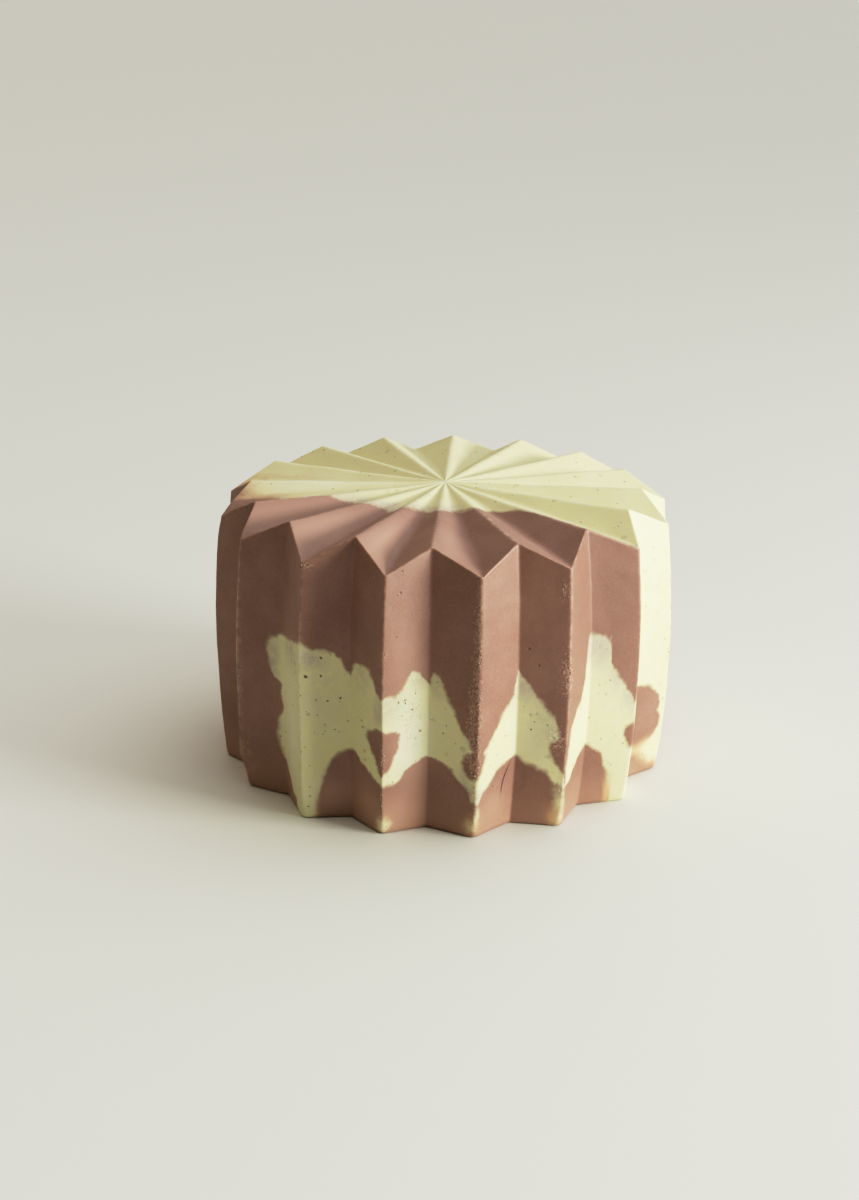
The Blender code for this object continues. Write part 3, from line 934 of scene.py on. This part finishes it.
# dry curd for flecks, grains and arrises; on the arrises also a painted highlight
DRY_COCOA = (0.55, 0.36, 0.28, 1.0)
DRY_AND_LIT_VANILLA = (0.86, 0.83, 0.64, 1.0)
print("cocoa from", COCOA_PAINTED_SHADE[:3], "to", COCOA_PAINTED_LIGHT[:3])

# %% What every layer reads
NOISES = {  # waves per metre, and octaves: from patches of a centimetre to grain under half a millimetre
    "slow": (90.0, 3.0),
    "middle": (420.0, 4.0),
    "grain": (1300.0, 2.0),
    "tearing": (1500.0, 3.0),
    "fine": (2400.0, 2.0),
}


def readings(tree):
    """Sockets by name: the place, the place on the unrolled wall, the painted numbers and the noises."""
    place = node(tree, "ShaderNodeTexCoord", (-1800, 1400)).outputs["Object"]
    on_wall = node(tree, "ShaderNodeAttribute", (-1800, 1200), {"attribute_name": "unrolled"})
    read = {"place": place, "unrolled": on_wall.outputs["Vector"]}
    for number, name in enumerate(PAINTED):
        layer = node(tree, "ShaderNodeAttribute", (-1800, 1000 - 200 * number), {"attribute_name": name})
        read[name] = layer.outputs["Fac"]
    for number, (name, (scale, detail)) in enumerate(NOISES.items()):
        read[name] = noise_at(tree, place, (-1800, -300 - 250 * number), scale, detail)
    return read


# %% Kinds of speck
SPECK_KINDS = {  # cells per metre, share of cells kept, radius as a share of a cell, how much it shows
    "dried fleck": (420.0, 0.07, 0.20, 0.5),
    "ground seed": (820.0, 0.085, 0.42, 0.42),
    "buried seed": (240.0, 0.14, 0.34, 0.2),
    "shallow seed": (450.0, 0.20, 0.32, 0.26),
    "pit": (330.0, 0.05, 0.20, 0.6),
}


def scattered(tree, at, place, kind):
    """Mask of one kind of speck, times how much it shows."""
    size, kept, radius, shows = SPECK_KINDS[kind]
    mask = grouped(tree, specks, at, place, Size=size, Kept=kept, Radius=radius)
    return maths(tree, (at[0] + 200, at[1]), "MULTIPLY", mask, shows)


print(len(SPECK_KINDS), "kinds of speck:", ", ".join(SPECK_KINDS))

# %% Ground colours
COCOA_MOTTLE, COCOA_RANGE = 0.7, (0.55, 1.15)  # share of grain in the mottle, and its lowest and highest
VANILLA_RANGE = (0.4, 0.7)  # lowest and highest mottle
FOOT_HEIGHTS, FOOT_BOUNCE_SHARE = (16.0, 0.0), 0.55  # mm over which cocoa turns paler at the foot, partly a paler mix and partly painted light bounced from the floor, and how far
THIN_GRAIN, THIN_RANGE = 0.7, (0.45, 0.95)  # the same two for the way that thin vanilla breaks up


def shaded(tree, at, read, colour, pale, painted_shade):
    """Colour turned towards the painted-light one where `pale` is above 0 and the painted-shade one where
    it is below.
    """
    colour = mixed(tree, at, read["pale"], colour, pale)
    below = maths(tree, (at[0], at[1] + 200), "MULTIPLY", read["pale"], -1.0)
    return mixed(tree, (at[0] + 200, at[1]), below, colour, painted_shade)


def cocoa_colour(tree, read):
    """Cocoa: mix(COCOA, COCOA_DARK, grain + slow), flecks over it, painted light and shade, and paler near
    the floor, which is partly a paler mix and partly painted bounce light.
    """
    mottle = maths(tree, (-1500, 200), "MULTIPLY_ADD", read["grain"], COCOA_MOTTLE, read["slow"])
    colour = mixed(tree, (-1100, 200), spread(tree, (-1300, 200), mottle, *COCOA_RANGE), COCOA, COCOA_DARK)
    flecks = scattered(tree, (-1300, 0), read["place"], "dried fleck")
    colour = mixed(tree, (-900, 200), flecks, colour, DRY_COCOA)
    # painted light and shade
    colour = shaded(tree, (-700, 200), read, colour, COCOA_PAINTED_LIGHT, COCOA_PAINTED_SHADE)
    parts = node(tree, "ShaderNodeSeparateXYZ", (-1100, -200))
    wire(tree, read["unrolled"], parts.inputs["Vector"])
    near_floor = spread(tree, (-900, -200), parts.outputs["Y"], *FOOT_HEIGHTS)
    foot = maths(tree, (-700, -200), "MULTIPLY", near_floor, FOOT_BOUNCE_SHARE)
    return mixed(tree, (-300, 200), foot, colour, COCOA_FOOT_BOUNCE)


def vanilla_colour(tree, read):
    """Vanilla: mix(VANILLA, VANILLA_PALE, middle), painted light and shade, and a cool grey where it is
    thin and as painted shade on faces in shade.
    """
    mottle = spread(tree, (-1300, 800), read["middle"], *VANILLA_RANGE)
    colour = mixed(tree, (-1100, 800), mottle, VANILLA, VANILLA_PALE)
    colour = shaded(tree, (-900, 800), read, colour, VANILLA_PAINTED_LIGHT, VANILLA_PAINTED_SHADE)
    torn = maths(tree, (-1300, 1200), "MULTIPLY_ADD", read["fine"], THIN_GRAIN, read["middle"])
    torn = spread(tree, (-1100, 1200), torn, *THIN_RANGE)
    thin_and_shade_share = maths(tree, (-900, 1200), "MULTIPLY", read["thin_and_shade"], torn)
    return mixed(tree, (-500, 800), thin_and_shade_share, colour, THIN_AND_SHADED_VANILLA)


# %% Dark marks
NAMED_PIT_SHARE = 0.8  # how much a named pit shows


def dark_marks(tree, read, is_vanilla):
    """The largest of: seeds at three depths where the curd is vanilla, small pits, and named pits."""
    place = read["place"]
    buried = maths(tree, (-600, -500), "ADD", scattered(tree, (-1000, -500), place, "buried seed"),
                   scattered(tree, (-1000, -700), place, "shallow seed"))
    seeds_seen = maths(tree, (-400, -500), "MAXIMUM", buried,
                       scattered(tree, (-1000, -900), place, "ground seed"))
    seeds_seen = maths(tree, (-200, -500), "MULTIPLY", seeds_seen, is_vanilla)
    named = grouped(tree, pits_of_wall, (-1000, -1100), read["unrolled"])
    pits = maths(tree, (-400, -1100), "MAXIMUM", scattered(tree, (-1000, -1300), place, "pit"),
                 maths(tree, (-800, -1100), "MULTIPLY", named, NAMED_PIT_SHARE))
    return maths(tree, (0, -500), "MAXIMUM", seeds_seen, pits)


# %% Torn grains, dry curd and painted highlights
GRAIN_LEVELS = (-0.22, 0.67)  # how much the painted crumb lowers the level, and the level where it is 0
GRAIN_EDGE = 0.06  # noise above the level at which a grain is whole
GRAIN_FADE = (0.05, 0.3)  # painted crumb over which grains appear
GRAIN_DRYNESS = 0.7
WEAR_RANGE, WEAR_DRYNESS = (0.3, 0.75), 0.68


def torn_grains(tree, read):
    """Mask of grains: noise above a level that sinks where the painted crumb is high."""
    scale, base = GRAIN_LEVELS
    level = maths(tree, (-1000, -1600), "MULTIPLY_ADD", read["crumb"], scale, base)
    over = maths(tree, (-800, -1600), "SUBTRACT", read["tearing"], level)
    grains = spread(tree, (-600, -1600), over, 0.0, GRAIN_EDGE)
    here = spread(tree, (-600, -1900), read["crumb"], *GRAIN_FADE)
    return maths(tree, (-400, -1600), "MULTIPLY", grains, here)


def dryness_and_highlight(tree, read, grains):
    """How dry the surface is, with a painted highlight on the arrises: the larger of worn and lit arrises,
    broken up by noise, and torn grains.
    """
    broken = spread(tree, (200, 700), read["middle"], *WEAR_RANGE)
    worn_and_lit = maths(tree, (400, 700), "MULTIPLY", read["wear_and_highlight"], broken)
    worn_and_lit = maths(tree, (600, 700), "MULTIPLY", worn_and_lit, WEAR_DRYNESS)
    grainy = maths(tree, (600, 500), "MULTIPLY", grains, GRAIN_DRYNESS)
    return maths(tree, (800, 500), "MAXIMUM", worn_and_lit, grainy)


# %% Marbled curd
BORDER_SOFTNESS = (1.8, -0.15)  # mm for each unit of slow noise, and mm added
TAN_REACH = (2.6, 0.2)  # mm from the border over which the mixed tan comes in
SLIT_SHARE = 0.85  # how much the slit shows
RELIEF = {"middle": 0.35, "fine": 0.3, "grains": 1.2, "marks": -0.8, "slit": -2.0}  # shares of the depth
BUMP = {"Strength": 0.7, "Distance": 0.00018}  # the distance is in metres
CURD_SOCKETS = {
    "Roughness": 0.5,
    "Specular IOR Level": 0.9,
    "Sheen Weight": 0.10,
    "Sheen Roughness": 0.5,
    "Subsurface Weight": 0.10,
    "Subsurface Radius": (1.0, 0.55, 0.3),
    "Subsurface Scale": 0.0022,
}


def relief_height(tree, layers):
    """Sum of each layer times its share in RELIEF."""
    total = 0.0
    for number, (name, share) in enumerate(RELIEF.items()):
        total = maths(tree, (600 + 150 * number, -600), "MULTIPLY_ADD", layers[name], share, total)
    return total


def curd_material():
    """Cocoa or vanilla by the ragged edge, then tan, marks, the slit and dry curd with a painted highlight
    on the arrises, each laid over.
    """
    material = bpy.data.materials.new("marbled curd")
    material.use_nodes = True
    tree = material.node_tree
    shader = tree.nodes["Principled BSDF"]
    shader.location = (1600, 0)
    tree.nodes["Material Output"].location = (1900, 0)
    read = readings(tree)
    softness = maths(tree, (-1500, 500), "MULTIPLY_ADD", read["slow"], *BORDER_SOFTNESS)
    is_vanilla = grouped(tree, ragged, (-1300, 500), read["place"], Distance=read["vanilla"],
                         Softness=softness)
    colour = mixed(tree, (0, 0), is_vanilla, cocoa_colour(tree, read), vanilla_colour(tree, read))
    near_border = maths(tree, (-600, 1500), "ABSOLUTE", read["vanilla"])
    near_border = spread(tree, (-400, 1500), near_border, *TAN_REACH)
    tan_share = maths(tree, (-200, 1500), "MULTIPLY", read["warm"], near_border)
    colour = mixed(tree, (200, 0), tan_share, colour, TAN)
    marks = dark_marks(tree, read, is_vanilla)
    colour = mixed(tree, (400, 0), marks, colour, SPECK)
    torn_line = grouped(tree, slit, (0, -1500), read["unrolled"])
    slit_share = maths(tree, (200, -1500), "MULTIPLY", torn_line, SLIT_SHARE)
    colour = mixed(tree, (600, 0), slit_share, colour, TORN)
    grains = torn_grains(tree, read)
    # dry curd, which on the arrises is also a painted highlight
    dry = mixed(tree, (800, 300), is_vanilla, DRY_COCOA, DRY_AND_LIT_VANILLA)
    colour = mixed(tree, (1200, 0), dryness_and_highlight(tree, read, grains), colour, dry)
    wire(tree, colour, shader.inputs["Base Color"])

    layers = {"middle": read["middle"], "fine": read["fine"], "grains": grains, "marks": marks,
              "slit": torn_line}
    bump = node(tree, "ShaderNodeBump", (1400, -600), **BUMP)
    wire(tree, relief_height(tree, layers), bump.inputs["Height"])
    wire(tree, bump.outputs["Normal"], shader.inputs["Normal"])
    for name, value in CURD_SOCKETS.items():
        shader.inputs[name].default_value = value
    return material


curd = curd_material()
paskha.data.materials.append(curd)
print("marbled curd:", len(curd.node_tree.nodes), "nodes")

# %% [markdown]
# ## Vanilla seeds and crumbs
# The vanilla curd holds dark seeds, and where the mould tore the ridges, small crumbs still cling to
# them. Both are the same little stone, a ball of thirty-two faces pressed flat, set many times into the
# skin, because that many stones have to be cheap. The places are drawn from a seeded random source, so
# they are the same on every run, and the largest seeds stand where the eye would look for them.

# %% A little stone
def stone_shape():
    """Corners and faces of an octahedron whose faces are split once, so 18 corners and 32 faces."""
    corners = [(1, 0, 0), (-1, 0, 0), (0, 1, 0), (0, -1, 0), (0, 0, 1), (0, 0, -1)]
    faces = [(0, 2, 4), (2, 1, 4), (1, 3, 4), (3, 0, 4), (2, 0, 5), (1, 2, 5), (3, 1, 5), (0, 3, 5)]
    points = [np.array(corner, dtype=float) for corner in corners]
    between = {}
    split = []
    for face in faces:
        mids = []
        for first, second in zip(face, face[1:] + face[:1]):
            key = tuple(sorted((first, second)))
            if key not in between:
                middle = points[first] + points[second]
                between[key] = len(points)
                points.append(middle / np.linalg.norm(middle))
            mids.append(between[key])
        split += [(face[0], mids[0], mids[2]), (face[1], mids[1], mids[0]), (face[2], mids[2], mids[1]),
                  tuple(mids)]
    return np.array(points), np.array(split)


STONE, STONE_FACES = stone_shape()
print("a stone has", len(STONE), "corners and", len(STONE_FACES), "faces")

# %% Many stones in one piece
STONE_STRETCH = (0.7, 1.4)  # longest against shortest, along the skin
STONE_KNOCKS = (0.75, 1.2)  # how far each corner is knocked in or out


def set_stones(name, centres, outward, sizes, flatness, seed):
    """One object of many stones: each flattened along its normal and knocked out of round."""
    rng = np.random.default_rng(seed)
    count = len(centres)
    along = np.cross(outward, np.array((0.0, 0.0, 1.0)))
    along /= length(along)
    across = np.cross(outward, along)
    turn = rng.uniform(0.0, 2.0 * np.pi, (count, 1))
    first = np.cos(turn) * along + np.sin(turn) * across
    second = np.cross(outward, first)
    stretch = rng.uniform(*STONE_STRETCH, (count, 1))
    knocks = rng.uniform(*STONE_KNOCKS, (count, len(STONE)))[..., None]
    local = STONE[None] * knocks * sizes[:, None, None]
    points = (centres[:, None] + local[..., :1] * (first * stretch)[:, None]
              + local[..., 1:2] * (second / stretch)[:, None]
              + local[..., 2:] * (outward * flatness)[:, None])
    points = np.clip(points.reshape(-1, 3), np.array(cad_low), np.array(cad_high))
    faces = (STONE_FACES[None] + (np.arange(count) * len(STONE))[:, None, None]).reshape(-1, 3)
    mesh = bpy.data.meshes.new(name)
    mesh.from_pydata(points.tolist(), [], faces.tolist())
    mesh.shade_smooth()
    thing = bpy.data.objects.new(name, mesh)
    bpy.context.scene.collection.objects.link(thing)
    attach(thing, "root")
    return thing


def on_skin(u, height):
    """Rows and columns of the grid points nearest to places on the wall."""
    column = np.abs((u[:, None] - columns[None] + PLEATS) % CORNERS - PLEATS).argmin(axis=1)
    row_heights = skin[first_wall_row:first_top_row, :, 2] / MM
    rows = np.abs(row_heights[:, column] - height[None]).argmin(axis=0) + first_wall_row
    return rows, column


outward_normals = skin_normals(skin)

# %% Vanilla seeds
BIG_SEEDS = np.array((  # u, height in mm, size in mm
    (-3.58, 50.3, 0.50), (-3.88, 45.0, 0.62), (-3.58, 45.2, 0.50), (-3.16, 38.3, 0.48),
    (-3.98, 39.0, 0.30), (-4.40, 33.6, 0.32), (-3.88, 34.0, 0.30), (-3.62, 32.7, 0.30),
    (-3.43, 37.3, 0.42), (-3.28, 28.7, 0.34), (-3.52, 27.5, 0.26), (-3.69, 27.5, 0.26),
    (-3.85, 4.0, 0.34), (-4.10, 9.0, 0.30), (-1.28, 43.0, 0.30), (-1.56, 37.0, 0.30),
    (-1.66, 18.0, 0.28), (-1.74, 16.4, 0.30), (-0.95, 34.0, 0.26), (-0.62, 33.5, 0.34),
    (-0.68, 31.0, 0.30), (0.70, 29.0, 0.30), (0.50, 24.5, 0.28), (1.28, 30.5, 0.34)))
SEED_COUNT = 130
SEED_TRIES = 4 * SEED_COUNT
SEED_DEPTH = 1.0  # mm from the nearest cocoa, at least
SEED_LUCK = 0.7  # share of fitting places that are used
SEED_SIZES = (0.10, 0.24)  # mm
SEED_SHARE_ON_TOP = 0.7  # of the size on the wall
SEED_SINK = 0.06 * MM
SEED_FLATNESS = 0.35
CROWN_ROWS = 3  # rings round the crown that stay free of seeds

rng = np.random.default_rng(21)
seed_rows = rng.integers(first_wall_row, skin.shape[0] - CROWN_ROWS, SEED_TRIES)
seed_columns = rng.integers(0, len(columns), SEED_TRIES)
fits = (vanilla[seed_rows, seed_columns] > SEED_DEPTH) & (rng.random(SEED_TRIES) < SEED_LUCK)
seed_rows, seed_columns = seed_rows[fits][:SEED_COUNT], seed_columns[fits][:SEED_COUNT]
seed_sizes = rng.uniform(*SEED_SIZES, len(seed_rows))
big_rows, big_columns = on_skin(BIG_SEEDS[:, 0], BIG_SEEDS[:, 1])
seed_rows, seed_columns = np.append(big_rows, seed_rows), np.append(big_columns, seed_columns)
seed_sizes = np.append(BIG_SEEDS[:, 2], seed_sizes) * MM
seed_sizes *= np.where(seed_rows >= first_top_row, SEED_SHARE_ON_TOP, 1.0)
seed_out = outward_normals[seed_rows, seed_columns]
seed_places = skin[seed_rows, seed_columns] - SEED_SINK * seed_out
seeds = set_stones("vanilla_seeds", seed_places, seed_out, seed_sizes, SEED_FLATNESS, 22)
print(len(seed_rows), "seeds")

# %% Crumbs on the ridges
CRUMB_TRIES = 26000
CRUMB_POWER = 1.5  # how sharply crumbs gather where the painted crumb is high
CRUMB_LUCK = (0.12, 1.6)  # from a crumb at nearly every try to none
CRUMB_SMALLEST, CRUMB_SPREAD = 0.10, 0.28  # mm; squaring the random share makes most of them small
CRUMB_FLATNESS = 0.7

rng = np.random.default_rng(31)
try_rows = rng.integers(first_wall_row, first_top_row, CRUMB_TRIES)
try_columns = rng.integers(0, len(columns), CRUMB_TRIES)
clings = crumb[try_rows, try_columns] ** CRUMB_POWER > rng.uniform(*CRUMB_LUCK, CRUMB_TRIES)
crumb_rows, crumb_columns = try_rows[clings], try_columns[clings]
crumb_sizes = (CRUMB_SMALLEST + CRUMB_SPREAD * rng.random(len(crumb_rows)) ** 2) * MM
crumb_out = outward_normals[crumb_rows, crumb_columns]
crumb_places = skin[crumb_rows, crumb_columns]
crumbs = set_stones("crumbs", crumb_places, crumb_out, crumb_sizes, CRUMB_FLATNESS, 32)
print(len(crumb_rows), "crumbs")

# %% [markdown]
# ## Colours of the stones
# No two seeds or crumbs are quite the same tone, and each is a little rough. A noise with waves of
# about a millimetre gives each stone its own tone, and a much finer one roughens it. That needs one
# material for each kind, where a colour for each stone would need hundreds.

# %% Colours of the stones
SEED_DARK, SEED_PALE = (0.19, 0.135, 0.08, 1.0), (0.35, 0.265, 0.17, 1.0)
CRUMB_DARK, CRUMB_PALE = (0.48, 0.315, 0.235, 1.0), (0.64, 0.455, 0.365, 1.0)
STONE_TO_STONE, STONE_GRAIN = 900.0, 7000.0  # waves per metre
STONE_RANGE = (0.35, 0.65)  # noise from the darkest stones to the palest


def stone_material(name, dark, pale, roughness):
    """A matt grainy surface: colour = dark + (pale - dark) * slow noise, height = fine noise."""
    material = bpy.data.materials.new(name)
    material.use_nodes = True
    tree = material.node_tree
    shader = tree.nodes["Principled BSDF"]
    place = node(tree, "ShaderNodeTexCoord", (-900, 0)).outputs["Object"]
    share = spread(tree, (-500, 0), noise_at(tree, place, (-700, 0), STONE_TO_STONE), *STONE_RANGE)
    wire(tree, mixed(tree, (-300, 0), share, dark, pale), shader.inputs["Base Color"])
    bump = node(tree, "ShaderNodeBump", (-300, -300), Strength=0.5, Distance=0.00004)
    wire(tree, noise_at(tree, place, (-700, -300), STONE_GRAIN), bump.inputs["Height"])
    wire(tree, bump.outputs["Normal"], shader.inputs["Normal"])
    shader.inputs["Roughness"].default_value = roughness
    return material


seeds.data.materials.append(stone_material("vanilla seed", SEED_DARK, SEED_PALE, 0.6))
crumbs.data.materials.append(stone_material("dry crumb", CRUMB_DARK, CRUMB_PALE, 0.7))
print("materials:", sorted(material.name for material in bpy.data.materials))

# %% [markdown]
# ## Camera
# The paskha is looked at from a little above, close enough for the near pleats to loom. A camera can be
# aimed by a tracking constraint, but a turn, a dip and a roll say more plainly how it is held, and they
# can be fitted one by one.

# %% Camera
CAMERA_PLACE = Vector((-84.9, -576.6, 251.7)) * MM
CAMERA_TURN, CAMERA_DIP, CAMERA_ROLL = 0.1384, 0.3359, 0.0065  # radians
CAMERA_LENS, LONG_SIDE = 59.57, 36.0  # mm


def aim(turn, dip, roll):
    """Rotation of a camera that looks along +Y, turned towards +X, dipped down and rolled."""
    ahead = Vector((np.sin(turn) * np.cos(dip), np.cos(turn) * np.cos(dip), -np.sin(dip)))
    right = Vector((np.cos(turn), -np.sin(turn), 0.0))
    up = right.cross(ahead)
    rolled_right = np.cos(roll) * right + np.sin(roll) * up
    rolled_up = np.cos(roll) * up - np.sin(roll) * right
    return Matrix((rolled_right, rolled_up, -ahead)).transposed().to_4x4()


camera_data = bpy.data.cameras.new("camera")
camera_data.lens = CAMERA_LENS
camera_data.sensor_width = LONG_SIDE
camera = bpy.data.objects.new("camera", camera_data)
camera.matrix_world = Matrix.Translation(CAMERA_PLACE) @ aim(CAMERA_TURN, CAMERA_DIP, CAMERA_ROLL)
bpy.context.scene.collection.objects.link(camera)
bpy.context.scene.camera = camera
print("camera", round(CAMERA_PLACE.length / MM), "mm from the middle of the base")

# %% [markdown]
# ## Floor and light
# A plain pale floor runs out to the horizon. One soft window to the right models the pleats: each
# right-hand face catches it and each left-hand face falls into shade. The rest of the light is the
# room's, brighter from the wall behind and the ceiling than from the front, so the top glows a little
# even where the window can't reach. The room is a sum of soft lobes: light from near one direction,
# which is the cosine to that direction raised to a power.

# %% Floor
FLOOR_REACH = 16.0  # metres each way
FLOOR_COLOUR, FLOOR_ROUGHNESS = (0.82, 0.81, 0.78, 1.0), 0.7

floor_mesh = bpy.data.meshes.new("floor")
floor_corners = [(x * FLOOR_REACH, y * FLOOR_REACH, 0.0) for x, y in ((-1, -1), (1, -1), (1, 1), (-1, 1))]
floor_mesh.from_pydata(floor_corners, [], [(0, 1, 2, 3)])
floor = bpy.data.objects.new("floor", floor_mesh)
bpy.context.scene.collection.objects.link(floor)
floor_paint = bpy.data.materials.new("pale floor")
floor_paint.use_nodes = True
floor_shader = floor_paint.node_tree.nodes["Principled BSDF"]
floor_shader.inputs["Base Color"].default_value = FLOOR_COLOUR
floor_shader.inputs["Roughness"].default_value = FLOOR_ROUGHNESS
floor_mesh.materials.append(floor_paint)
print("floor reaches", FLOOR_REACH, "m")

# %% Window
WINDOW_AZIMUTH, WINDOW_RISE, WINDOW_AWAY = 59.5, 12.0, 1.2  # degrees, degrees, metres
WINDOW_SIZE = (0.46, 0.22)  # metres
WINDOW_POWER = 10.9  # watts
WINDOW_COLOUR = (0.95, 1.0, 0.92)


def direction(azimuth, rise):
    """Unit vector at an azimuth from -Y towards +X, raised above the floor; both in degrees."""
    level, up = np.radians(azimuth), np.radians(rise)
    return Vector((np.sin(level) * np.cos(up), -np.cos(level) * np.cos(up), np.sin(up)))


window_data = bpy.data.lights.new("window", "AREA")
window_data.shape = "RECTANGLE"
window_data.size, window_data.size_y = WINDOW_SIZE
window_data.energy = WINDOW_POWER
window_data.color = WINDOW_COLOUR
window = bpy.data.objects.new("window", window_data)
towards_window = direction(WINDOW_AZIMUTH, WINDOW_RISE)
window.location = Vector((0.0, 0.0, 0.5 * CROWN)) + towards_window * WINDOW_AWAY
window.rotation_euler = towards_window.to_track_quat("Z", "Y").to_euler()
bpy.context.scene.collection.objects.link(window)
print("window at", [round(value, 2) for value in window.location], "m")

# %% Room
ROOM = (  # azimuth, rise, power of the cosine, colour
    (95.0, 55.0, 4.0, (0.88, 0.96, 0.92)),  # high on the window's side
    (130.0, 15.0, 4.0, (0.20, 0.25, 0.27)),  # the wall behind, on the window's side
    (-130.0, 20.0, 4.0, (0.20, 0.18, 0.105)),  # the wall behind, on the far side
    (-85.0, 20.0, 4.0, (0.17, 0.18, 0.09)),  # the far wall
    (180.0, 60.0, 4.0, (0.41, 0.36, 0.35)),  # the ceiling towards the back
    (0.0, 90.0, 4.0, (0.36, 0.31, 0.275)),  # the ceiling overhead
)


def room_world(lobes):
    """World whose colour is the sum over lobes of colour * max(cosine, 0) ^ power."""
    world = bpy.data.worlds.new("room")
    world.use_nodes = True
    tree = world.node_tree
    ray = node(tree, "ShaderNodeTexCoord", (-1200, 0)).outputs["Generated"]
    total = (0.0, 0.0, 0.0)
    for number, (azimuth, rise, power, colour) in enumerate(lobes):
        level = -260 * number
        cosine = node(tree, "ShaderNodeVectorMath", (-1000, level), {"operation": "DOT_PRODUCT"})
        wire(tree, ray, cosine.inputs[0])
        cosine.inputs[1].default_value = direction(azimuth, rise)
        above = maths(tree, (-800, level), "MAXIMUM", cosine.outputs["Value"], 0.0)
        lobe = maths(tree, (-600, level), "POWER", above, power)
        share = node(tree, "ShaderNodeVectorMath", (-400, level), {"operation": "MULTIPLY_ADD"})
        wire(tree, lobe, share.inputs[0])
        share.inputs[1].default_value = colour
        give(tree, share.inputs[2], total)
        total = share.outputs["Vector"]
    wire(tree, total, tree.nodes["Background"].inputs["Color"])
    return world


bpy.context.scene.world = room_world(ROOM)
print("the room has", len(ROOM), "lobes of light")

# %% [markdown]
# ## Developing the picture
# A camera's own curve is steeper in the shadows and flatter in the highlights than plain light, which
# is what gives cocoa its depth in shade and keeps lit vanilla from burning out. The same curve is laid
# over the render, as pairs of light and brightness.

# %% Tone curve
WHITE = 2.5  # light that comes out as white
TONE = (
    (0.0117, 0.003), (0.0262, 0.010), (0.0553, 0.030), (0.0884, 0.060), (0.125, 0.10),
    (0.1645, 0.15), (0.20, 0.20), (0.245, 0.27), (0.292, 0.35), (0.333, 0.42),
    (0.382, 0.50), (0.439, 0.58), (0.502, 0.65), (0.594, 0.73), (0.697, 0.80),
    (0.81, 0.86), (0.907, 0.90), (1.136, 0.95), (1.5, 0.98), (2.0, 0.995),
)
view = bpy.context.scene.view_settings
view.view_transform = "Standard"
view.use_curve_mapping = True
mapping = view.curve_mapping
mapping.white_level = (WHITE, WHITE, WHITE)
tone = mapping.curves[3]
for light, brightness in TONE:
    point = tone.points.new(light / WHITE, brightness)
    point.handle_type = "AUTO_CLAMPED"
mapping.update()
print("tone curve of", len(tone.points), "points")

# %% [markdown]
# ## The end
# The last step brings the scene up to date.

# %% The end
bpy.context.view_layer.update()
